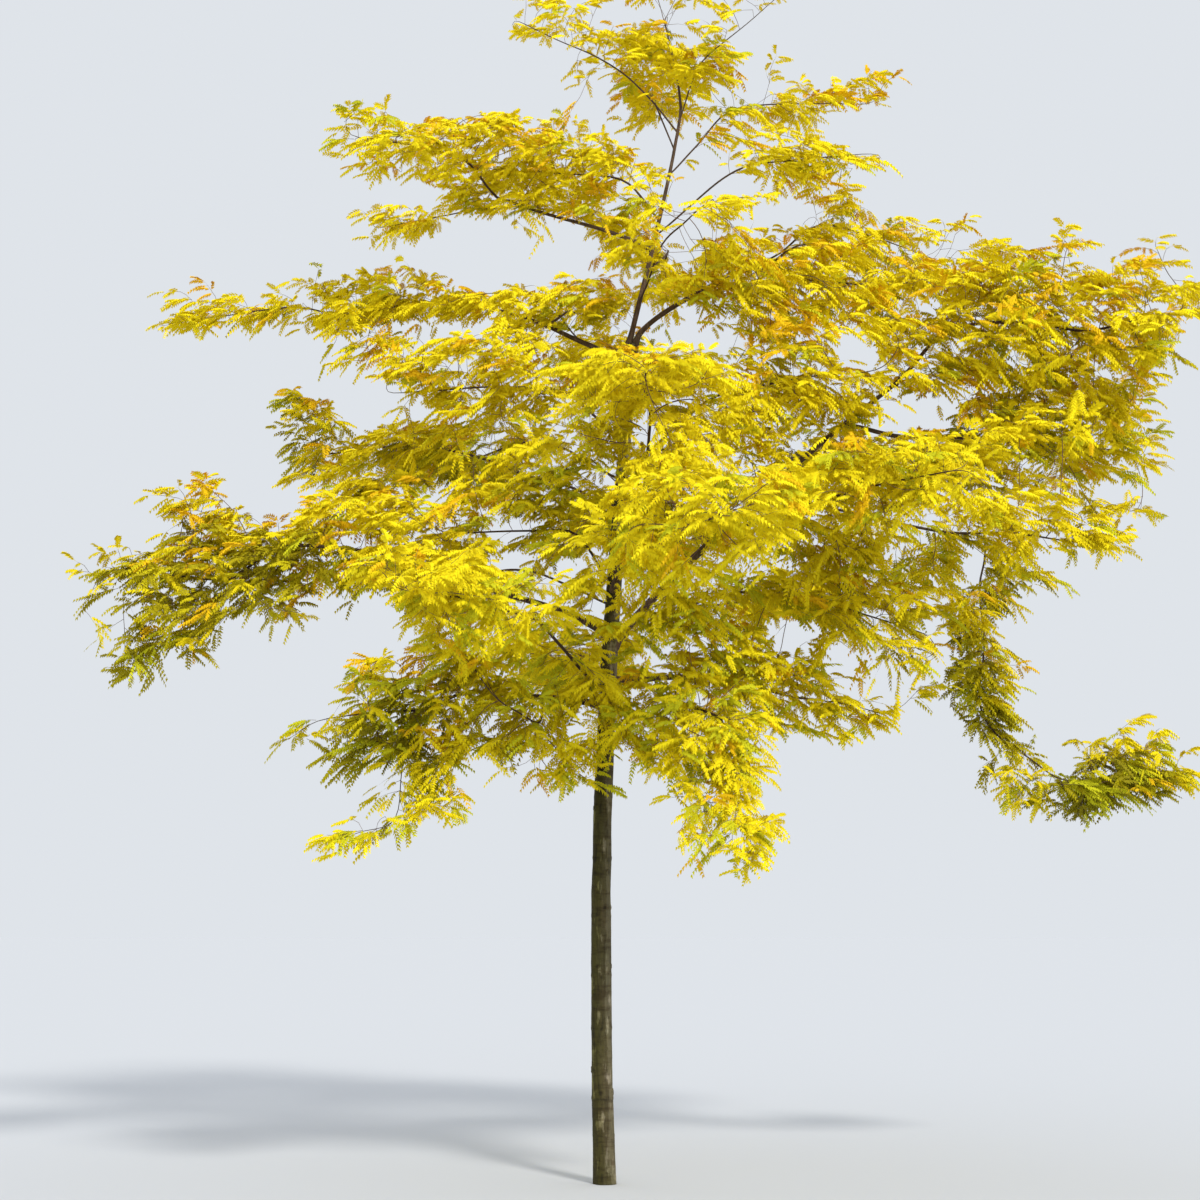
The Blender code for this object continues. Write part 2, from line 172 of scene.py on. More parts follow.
class Parts:
    """Vertices and triangles gathered for one joined piece."""

    def __init__(self):
        self.verts, self.tris, self.count = [], [], 0

    def add(self, verts, tris):
        self.verts.append(np.asarray(verts, float).reshape(-1, 3))
        self.tris.append(np.asarray(tris).reshape(-1, 3) + self.count)
        self.count += len(self.verts[-1])

    def tube(self, points, radii, sides):
        points, radii = np.asarray(points, float), np.asarray(radii, float)
        _, us, vs = frames_along(points)
        a = 2 * pi * np.arange(sides) / sides
        ring = us[:, None] * np.cos(a)[None, :, None] + vs[:, None] * np.sin(a)[None, :, None]
        verts = points[:, None] + ring * radii[:, None, None]
        tris = tube_faces(len(points), sides, 0)
        last = (len(points) - 1) * sides
        k = np.arange(sides)
        cap = np.stack([last + k, last + (k + 1) % sides, np.full(sides, last + sides)], -1)
        tip = points[-1] + unit(points[-1] - points[-2]) * radii[-1]
        self.add(np.concatenate([verts.reshape(-1, 3), tip[None]]), np.concatenate([tris, cap]))


def make_piece(name, verts, tris, material, nodes, smooth=False):
    mesh = bpy.data.meshes.new(name)
    verts = np.ascontiguousarray(verts, dtype=np.float32)
    tris = np.ascontiguousarray(tris, dtype=np.int32)
    mesh.vertices.add(len(verts))
    mesh.vertices.foreach_set("co", verts.ravel())
    mesh.loops.add(len(tris) * 3)
    mesh.loops.foreach_set("vertex_index", tris.ravel())
    mesh.polygons.add(len(tris))
    mesh.polygons.foreach_set("loop_start", np.arange(0, len(tris) * 3, 3, dtype=np.int32))
    mesh.polygons.foreach_set("use_smooth", np.full(len(tris), smooth))
    mesh.update(calc_edges=True)
    mesh.materials.append(material)
    obj = bpy.data.objects.new(name, mesh)
    bpy.context.scene.collection.objects.link(obj)
    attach(obj, "root")
    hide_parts(*nodes)
    return obj


# --------------------------------------------------------------- materials
def plain(name, colour, roughness, specular=0.5):
    material = bpy.data.materials.new(name)
    material.use_nodes = True
    shader = material.node_tree.nodes["Principled BSDF"]
    shader.inputs["Base Color"].default_value = (*colour, 1.0)
    shader.inputs["Roughness"].default_value = roughness
    shader.inputs["Specular IOR Level"].default_value = specular
    material.diffuse_color = (*colour, 1.0)
    return material


def bark_material(name, dark, mid, pale, grain, painted_sides=False):
    """Mottled bark: plates and patches of three tones, cross bands of small
    breathing pores, and fine lengthwise cracks, with bump to match."""
    material = bpy.data.materials.new(name)
    material.use_nodes = True
    nodes, links = material.node_tree.nodes, material.node_tree.links
    shader = nodes["Principled BSDF"]
    shader.inputs["Roughness"].default_value = 0.88
    shader.inputs["Specular IOR Level"].default_value = 0.25
    place = nodes.new("ShaderNodeTexCoord")

    def stretched(scale):
        mapping = nodes.new("ShaderNodeMapping")
        mapping.inputs["Scale"].default_value = scale
        links.new(place.outputs["Object"], mapping.inputs["Vector"])
        return mapping.outputs["Vector"]

    def noise_of(vector, scale, detail, rough=0.6):
        n = nodes.new("ShaderNodeTexNoise")
        n.inputs["Scale"].default_value = scale
        n.inputs["Detail"].default_value = detail
        n.inputs["Roughness"].default_value = rough
        links.new(vector, n.inputs["Vector"])
        return n.outputs["Fac"]

    def ramp(fac, stops):
        r = nodes.new("ShaderNodeValToRGB")
        while len(r.color_ramp.elements) < len(stops):
            r.color_ramp.elements.new(0.5)
        for e, (at, colour) in zip(r.color_ramp.elements, stops):
            e.position = at
            e.color = (*colour, 1.0)
        links.new(fac, r.inputs["Fac"])
        return r.outputs["Color"]

    def mix(kind, fac, a, b):
        m = nodes.new("ShaderNodeMix")
        m.data_type = "RGBA"
        m.blend_type = kind
        if isinstance(fac, float):
            m.inputs["Factor"].default_value = fac
        else:
            links.new(fac, m.inputs["Factor"])
        links.new(a, m.inputs[6])
        links.new(b, m.inputs[7])
        return m.outputs[2]

    patches = ramp(noise_of(stretched((1, 1, 0.30)), 17 * grain, 5),
                   ((0.32, dark), (0.45, mid), (0.56, mid), (0.68, pale)))
    pores = ramp(noise_of(stretched((1, 1, 3.6)), 26 * grain, 3),
                 ((0.54, (1, 1, 1)), (0.68, (0.56, 0.50, 0.44))))
    cracks = ramp(noise_of(stretched((1, 1, 0.09)), 95 * grain, 4, 0.7),
                  ((0.33, (0.42, 0.38, 0.34)), (0.50, (1, 1, 1))))
    moss = ramp(noise_of(stretched((1, 1, 0.5)), 5.0 * grain, 3),
                ((0.45, (1, 1, 1)), (0.75, (0.86, 0.98, 0.70))))
    colour = mix("MULTIPLY", 0.75, patches, pores)
    colour = mix("MULTIPLY", 0.80, colour, cracks)
    colour = mix("MULTIPLY", 0.9, colour, moss)
    if painted_sides:
        # painted shade, tinted dark green, on the side of the trunk turned away from the key light (towards -X), and
        # painted light, paler bark, on the side turned towards it (+X)
        turned = nodes.new("ShaderNodeSeparateXYZ")
        links.new(place.outputs["Normal"], turned.inputs["Vector"])
        facing_key_side = nodes.new("ShaderNodeMath")
        facing_key_side.operation = "MULTIPLY_ADD"
        links.new(noise_of(stretched((1, 1, 0.35)), 14 * grain, 4), facing_key_side.inputs[0])
        facing_key_side.inputs[1].default_value = 0.9
        links.new(turned.outputs["X"], facing_key_side.inputs[2])
        side = ramp(facing_key_side.outputs["Value"],
                    ((0.02, (0.70, 0.74, 0.36)), (0.32, (0.86, 0.88, 0.66)),
                     (0.70, (1.0, 1.0, 1.0)), (1.0, (1.0, 1.0, 1.0))))
        colour = mix("MULTIPLY", 1.0, colour, side)
        # painted light: paler bark on the side turned towards the key light
        painted_light_on_bark = ramp(facing_key_side.outputs["Value"], ((0.86, (0, 0, 0)), (1.0, (0.055, 0.050, 0.034))))
        colour = mix("ADD", 1.0, colour, painted_light_on_bark)
        # short level marks, dark brown, all the way up
        marks = ramp(noise_of(stretched((0.6, 0.6, 2.2)), 13, 4, 0.55),
                     ((0.34, (0.52, 0.45, 0.38)), (0.50, (0.94, 0.92, 0.90)), (0.60, (1, 1, 1))))
        colour = mix("MULTIPLY", 0.85, colour, marks)
        # the dark rings round the trunk, a little uneven
        split = nodes.new("ShaderNodeSeparateXYZ")
        links.new(place.outputs["Object"], split.inputs["Vector"])
        wavy = nodes.new("ShaderNodeMath")
        wavy.operation = "MULTIPLY_ADD"
        links.new(noise_of(stretched((1, 1, 1)), 16, 3), wavy.inputs[0])
        wavy.inputs[1].default_value = 0.035
        links.new(split.outputs["Z"], wavy.inputs[2])
        share = nodes.new("ShaderNodeMath")
        share.operation = "DIVIDE"
        links.new(wavy.outputs["Value"], share.inputs[0])
        share.inputs[1].default_value = 3.6
        stops = []
        for height, width, proud in TRUNK_BANDS:
            depth = 1 - 175 * proud
            at = (height + 0.0175) / 3.6
            stops += [(at - 0.0050, (1, 1, 1)), (at, (depth, depth * 0.95, depth * 0.88)), (at + 0.0040, (1, 1, 1))]
        worn = ramp(noise_of(stretched((1, 1, 0.8)), 11, 3), ((0.36, (0.12, 0.12, 0.12)), (0.60, (1, 1, 1))))
        colour = mix("MULTIPLY", worn, colour, ramp(share.outputs["Value"], stops))
        for height, bearing, size in TRUNK_SCARS:
            spot = nodes.new("ShaderNodeVectorMath")
            spot.operation = "DISTANCE"
            links.new(place.outputs["Object"], spot.inputs[0])
            spot.inputs[1].default_value = tuple(trunk_centre(height) + heading(bearing)
                                                 * (trunk_radius(height) + FLARE_EXTRA * np.exp(-height / FLARE_HEIGHT)))
            heart = ramp(spot.outputs["Value"], ((size * 0.35, (0.42, 0.36, 0.28)), (size * 1.0, (1, 1, 1))))
            colour = mix("MULTIPLY", 0.9, colour, heart)
    links.new(colour, shader.inputs["Base Color"])
    rough = nodes.new("ShaderNodeBump")
    rough.inputs["Strength"].default_value = 0.55
    rough.inputs["Distance"].default_value = 0.0035
    links.new(cracks, rough.inputs["Height"])
    fine = nodes.new("ShaderNodeBump")
    fine.inputs["Strength"].default_value = 0.4
    fine.inputs["Distance"].default_value = 0.002
    links.new(noise_of(stretched((1, 1, 1)), 210 * grain, 5, 0.65), fine.inputs["Height"])
    links.new(rough.outputs["Normal"], fine.inputs["Normal"])
    links.new(fine.outputs["Normal"], shader.inputs["Normal"])
    return material


# ---------------------------------------------------------- the CAD limbs
# (height up the trunk, bearing, size): scars of limbs long gone
TRUNK_SCARS = ((0.130, 324, 0.024), (0.56, 262, 0.020), (0.83, 205, 0.015), (1.02, 318, 0.014),
               (1.34, 250, 0.018), (1.52, 20, 0.020), (1.71, 292, 0.016), (1.93, 228, 0.019),
               (2.11, 330, 0.018), (2.34, 120, 0.020), (2.47, 275, 0.019), (2.66, 210, 0.020),
               (1.18, 140, 0.018), (0.70, 80, 0.019), (2.85, 300, 0.020))
# (height, width, how far it stands proud): old growth rings across the bark
TRUNK_BANDS = ((0.30, 0.010, 0.0012), (0.52, 0.014, 0.0036), (0.96, 0.013, 0.0024),
               (1.28, 0.012, 0.0020), (1.66, 0.011, 0.0018), (2.02, 0.012, 0.0022),
               (2.42, 0.012, 0.0018), (2.80, 0.014, 0.0024), (3.30, 0.014, 0.0020))


def trunk_centre(z):
    return np.array((TRUNK_LEAN * z * z - TRUNK_BOW * sin(pi * z / TRUNK_BOW_HEIGHT), 0.0, z))


def trunk_radius(z):
    share = max(z / TRUNK_HEIGHT, 0.0) ** TRUNK_TAPER
    return TRUNK_RADIUS_FOOT + (TRUNK_RADIUS_FORK - TRUNK_RADIUS_FOOT) * share


def bough_line(spec, start, steps):
    _, _, _, bearing, reach, rise, bend, foot, end, sway = spec
    out = heading(bearing)
    side = np.array((-out[1], out[0], 0.0))
    t = np.linspace(0, 1, steps)
    climb = rise * (t**bend if bend < 1 else (1 - (1 - t) ** (1 / bend)) * 0.35 + t * 0.65)
    points = (start + out * (reach * t)[:, None] + UP * climb[:, None]
              + side * (sway * np.sin(2.4 * pi * t) * t)[:, None])
    return points, foot + (end - foot) * t


limbs = {}
for spec in LEADERS + BOUGHS:
    name, carrier, height, bearing = spec[:4]
    if height == TRUNK_HEIGHT:
        begin = trunk_centre(TRUNK_HEIGHT) + heading(bearing) * (
            -FORK_STANCE if name == "leader" else FORK_STANCE)
    elif carrier == "trunk":
        begin = trunk_centre(height)
    else:
        line = limbs[carrier][0]
        t = (height - line[:, 2])
        j = int(np.argmin(np.abs(t)))
        begin = line[j]
    limbs[name] = bough_line(spec, begin, 40)

MASSES = sorted(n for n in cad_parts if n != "trunk" and n not in limbs)


def bark_tube(points, radii, sides, seed, relief, flare=None):
    """A tube with the bark's relief: vertices (rings, sides, 3)."""
    tangents, us, vs = frames_along(points)
    a = 2 * pi * np.arange(sides) / sides
    ring = us[:, None] * np.cos(a)[None, :, None] + vs[:, None] * np.sin(a)[None, :, None]
    along = np.concatenate([[0], np.cumsum(np.linalg.norm(np.diff(points, axis=0), axis=1))])
    ca = np.broadcast_to(np.cos(a), (len(points), sides)).ravel()
    sa = np.broadcast_to(np.sin(a), (len(points), sides)).ravel()
    s = np.repeat(along, sides)
    r0 = np.repeat(radii, sides)
    swell = lattice(np.stack([ca * 1.3, sa * 1.3, s * 5.0 + 9], 1), seed) * 0.050
    plates = lattice(np.stack([ca * 4.2, sa * 4.2, s * 11.0], 1), seed + 1)
    ridges = lattice(np.stack([ca * 7.5, sa * 7.5, s * 16.0], 1), seed + 2)
    pores = lattice(np.stack([ca * 3.6, sa * 3.6, s * 46.0], 1), seed + 3)
    r = r0 * (1 + swell) + relief * (1.1 * plates + 0.8 * -np.abs(ridges) + 0.22 * pores)
    r = r.reshape(len(points), sides)
    if flare is not None:
        r = r + flare(points, a, along)
    return points[:, None] + ring * r[:, :, None]


def trunk_extras(points, a, along):
    """Root flare, scars with a raised rim and a sunken heart, and bands."""
    z = points[:, 2][:, None]
    extra = FLARE_EXTRA * np.exp(-z / FLARE_HEIGHT) * (1 + 0.35 * np.sin(FLARE_LOBES * a + 0.6))[None]
    for height, bearing, size in TRUNK_SCARS:
        around = (a[None] - radians(bearing) + pi) % (2 * pi) - pi
        far = np.sqrt((around * trunk_radius(height) / 1.25) ** 2 + (z - height) ** 2) / size
        extra = extra + size * (0.30 * np.exp(-((far - 0.75) / 0.33) ** 2) - 0.16 * np.exp(-(far / 0.45) ** 2))
    for height, width, proud in TRUNK_BANDS:
        wave = 0.006 * np.sin(2 * a + height * 9)[None]
        extra = extra + proud * np.exp(-(((z - height - wave) / width) ** 2))
    return extra


# the trunk's tones are darker than its bark alone, partly painted shade of the crown above it; True gives it painted
# shade and painted light on its two sides
bark = bark_material("trunk_bark", (0.030, 0.024, 0.010), (0.080, 0.065, 0.029), (0.300, 0.258, 0.185), 1.0, True)
bough_bark = bark_material("bough_bark", (0.048, 0.030, 0.020), (0.105, 0.066, 0.044), (0.185, 0.130, 0.092), 1.8)

# The trunk: rings are close together where it is bare.
heights = np.concatenate([np.arange(0, 2.4, 0.0065), np.arange(2.4, TRUNK_HEIGHT - 0.012, 0.013),
                          [TRUNK_HEIGHT - 0.008]])
centres = np.array([trunk_centre(z) for z in heights])
verts = bark_tube(centres, np.array([trunk_radius(z) for z in heights]), 48, 3, 0.0015, trunk_extras)
verts[0, :, 2] = 0.0
# the frame along a nearly upright line starts on its own axes
count = len(heights) * 48
top = np.array([[*centres[-1][:2], TRUNK_HEIGHT + 0.012]])
bottom = np.array([[0.0, 0.0, 0.0]])
k = np.arange(48)
caps = np.concatenate([
    np.stack([count - 48 + k, count - 48 + (k + 1) % 48, np.full(48, count)], -1),
    np.stack([(k + 1) % 48, k, np.full(48, count + 1)], -1)])
make_piece("trunk_with_bark", np.concatenate([verts.reshape(-1, 3), top, bottom]),
           np.concatenate([tube_faces(len(heights), 48, 0), caps]), bark, ["trunk"], True)

for seed, spec in enumerate(LEADERS + BOUGHS):
    name, foot = spec[0], spec[7]
    points, radii = limbs[name]
    length = np.linalg.norm(points[-1] - points[0])
    t = np.linspace(0, 1, max(60, int(length / 0.012)))
    fine = np.stack([np.interp(t, np.linspace(0, 1, len(points)), points[:, c]) for c in range(3)], 1)
    radii = np.interp(t, np.linspace(0, 1, len(points)), radii)
    if spec[2] == TRUNK_HEIGHT:                # leaders run down into the fork
        ahead = unit(fine[1] - fine[0])
        back = fine[0] - np.array([0.10, 0.075, 0.05, 0.025])[:, None] * unit(ahead + UP * 1.5)
        fine = np.concatenate([back, fine])
        radii = np.concatenate([np.full(4, radii[0]), radii])
    along = np.concatenate([[0], np.cumsum(np.linalg.norm(np.diff(fine, axis=0), axis=1))])
    sunk = trunk_radius(min(spec[2], TRUNK_HEIGHT)) if spec[1] == "trunk" else 0.017
    if spec[2] == TRUNK_HEIGHT:
        sunk = 0.10
    radii = radii * (1 + 0.45 * np.exp(-np.maximum(along - sunk, 0) / 0.035))
    verts = bark_tube(fine, radii, 20, 30 + seed * 7, 0.0008)
    count = len(fine) * 20
    k = np.arange(20)
    caps = np.concatenate([
        np.stack([count - 20 + k, count - 20 + (k + 1) % 20, np.full(20, count)], -1),
        np.stack([(k + 1) % 20, k, np.full(20, count + 1)], -1)])
    make_piece(name + "_with_bark", np.concatenate([verts.reshape(-1, 3), fine[-1:], fine[:1]]),
               np.concatenate([tube_faces(len(fine), 20, 0), caps]), bough_bark, [name], True)

# ------------------------------------------------- the room for the crown
# Open places that show sky or what lies behind, as seen from the front:
# (x and z of the middle on the plane through the trunk, half width, half height)
WINDOWS = (
    (-1.55, 5.04, 0.30, 0.19), (0.39, 5.51, 0.42, 0.09), (-0.24, 6.11, 0.24, 0.20), (2.10, 4.97, 0.28, 0.13),
    (-1.35, 6.51, 0.30, 0.11), (1.93, 6.46, 0.24, 0.16), (-1.17, 5.56, 0.40, 0.07), (1.65, 6.97, 0.20, 0.17),
    (1.21, 6.36, 0.30, 0.09), (1.69, 5.38, 0.19, 0.14), (-1.42, 6.06, 0.20, 0.12), (2.23, 6.08, 0.30, 0.08),
    (-2.15, 4.36, 0.20, 0.12), (3.31, 4.45, 0.26, 0.08), (2.43, 3.93, 0.12, 0.13), (2.08, 5.71, 0.15, 0.08),
    (-0.79, 4.72, 0.14, 0.07), (0.45, 6.86, 0.17, 0.22), (0.24, 4.84, 0.09, 0.11), (1.78, 3.59, 0.13, 0.07),
    (0.12, 2.62, 0.12, 0.14), (2.77, 4.61, 0.18, 0.05), (0.26, 3.33, 0.10, 0.06), (0.52, 7.59, 0.13, 0.07),
    (0.74, 6.57, 0.36, 0.12), (0.52, 6.17, 0.17, 0.26), (-1.84, 3.04, 0.17, 0.20), (-1.49, 3.65, 0.20, 0.15),
    (-3.01, 4.18, 0.22, 0.12), (-0.38, 7.50, 0.26, 0.15), (1.23, 3.49, 0.22, 0.13), (0.14, 5.91, 0.15, 0.10),
    (2.90, 2.68, 0.26, 0.10), (3.07, 3.96, 0.26, 0.09), (2.66, 3.45, 0.10, 0.12), (0.45, 2.35, 0.10, 0.18),
    (-0.71, 5.89, 0.16, 0.10), (3.84, 5.92, 0.16, 0.10), (1.83, 6.83, 0.17, 0.10), (-0.57, 4.21, 0.22, 0.05),
    (0.24, 5.49, 0.07, 0.18), (2.04, 6.08, 0.16, 0.08), (1.84, 4.86, 0.18, 0.07), (-1.13, 7.08, 0.15, 0.06),
    (-3.17, 3.55, 0.12, 0.08), (2.10, 4.23, 0.14, 0.06), (0.50, 5.04, 0.12, 0.06),
    (-1.21, 4.96, 0.11, 0.08), (0.79, 7.13, 0.17, 0.05), (0.13, 7.09, 0.09, 0.10), (0.84, 5.40, 0.12, 0.05),
    (1.19, 7.25, 0.15, 0.05), (1.73, 3.34, 0.10, 0.07), (3.40, 5.97, 0.09, 0.06), (-2.52, 5.80, 0.11, 0.05),
    (-2.15, 5.82, 0.07, 0.09), (2.71, 3.05, 0.06, 0.09), (-0.45, 3.10, 0.07, 0.07), (-0.63, 4.17, 0.17, 0.12),
    (-0.19, 3.95, 0.18, 0.06), (-0.80, 2.54, 0.20, 0.18), (1.04, 7.71, 0.20, 0.18), (1.54, 3.29, 0.14, 0.15),
    (0.98, 7.33, 0.12, 0.15), (-1.81, 3.68, 0.24, 0.09), (-1.19, 7.09, 0.30, 0.08), (-0.02, 7.33, 0.16, 0.11),
    (0.84, 5.45, 0.12, 0.10), (2.11, 5.70, 0.18, 0.08), (3.92, 5.51, 0.08, 0.14), (-0.43, 5.85, 0.13, 0.09),
    (-1.79, 6.91, 0.16, 0.06), (2.94, 6.17, 0.12, 0.08), (-2.37, 5.79, 0.18, 0.05), (2.01, 6.07, 0.15, 0.06),
    (0.98, 6.30, 0.15, 0.05), (-0.61, 3.96, 0.24, 0.09), (0.00, 7.76, 0.15, 0.13), (3.30, 6.04, 0.16, 0.10),
    (-0.79, 4.73, 0.14, 0.09), (1.03, 2.74, 0.08, 0.14), (1.06, 2.40, 0.08, 0.12), (1.76, 3.59, 0.15, 0.07),
    (-2.37, 5.51, 0.17, 0.05), (-1.54, 2.21, 0.15, 0.07), (0.25, 5.60, 0.10, 0.10),
    (-0.23, 5.53, 0.18, 0.05), (1.59, 3.09, 0.12, 0.06), (-2.99, 4.34, 0.10, 0.07), (-1.64, 4.85, 0.17, 0.05),
    (-1.73, 5.32, 0.10, 0.08), (1.65, 5.50, 0.10, 0.08), (-2.20, 3.45, 0.36, 0.15), (-3.18, 3.70, 0.14, 0.07),
    (0.72, 7.78, 0.10, 0.08), (0.42, 7.80, 0.26, 0.09), (-1.40, 2.50, 0.14, 0.17), (0.48, 5.04, 0.12, 0.07),
    (1.78, 3.21, 0.10, 0.11), (0.15, 7.75, 0.10, 0.14), (0.52, 7.68, 0.15, 0.07), (-0.04, 4.01, 0.11, 0.07),
    (-0.14, 2.92, 0.06, 0.13), (0.33, 2.51, 0.10, 0.08), (2.61, 3.54, 0.09, 0.09), (-0.94, 5.91, 0.10, 0.06),
    (1.77, 3.60, 0.15, 0.06), (-2.30, 3.60, 0.09, 0.06),
)


def on_front_plane(p):
    """Where points show on the upright plane through the trunk."""
    scale = (0.0 - EYE[1]) / (p[..., 1] - EYE[1])
    return (EYE[0] + (p[..., 0] - EYE[0]) * scale, EYE[2] + (p[..., 2] - EYE[2]) * scale)


def in_window(p, grow=0.0):
    x, z = on_front_plane(p)
    inside = np.zeros(x.shape, bool)
    for wx, wz, half_x, half_z in WINDOWS:
        inside |= ((x - wx) / (half_x + grow)) ** 2 + ((z - wz) / (half_z + grow)) ** 2 < 1
    return inside


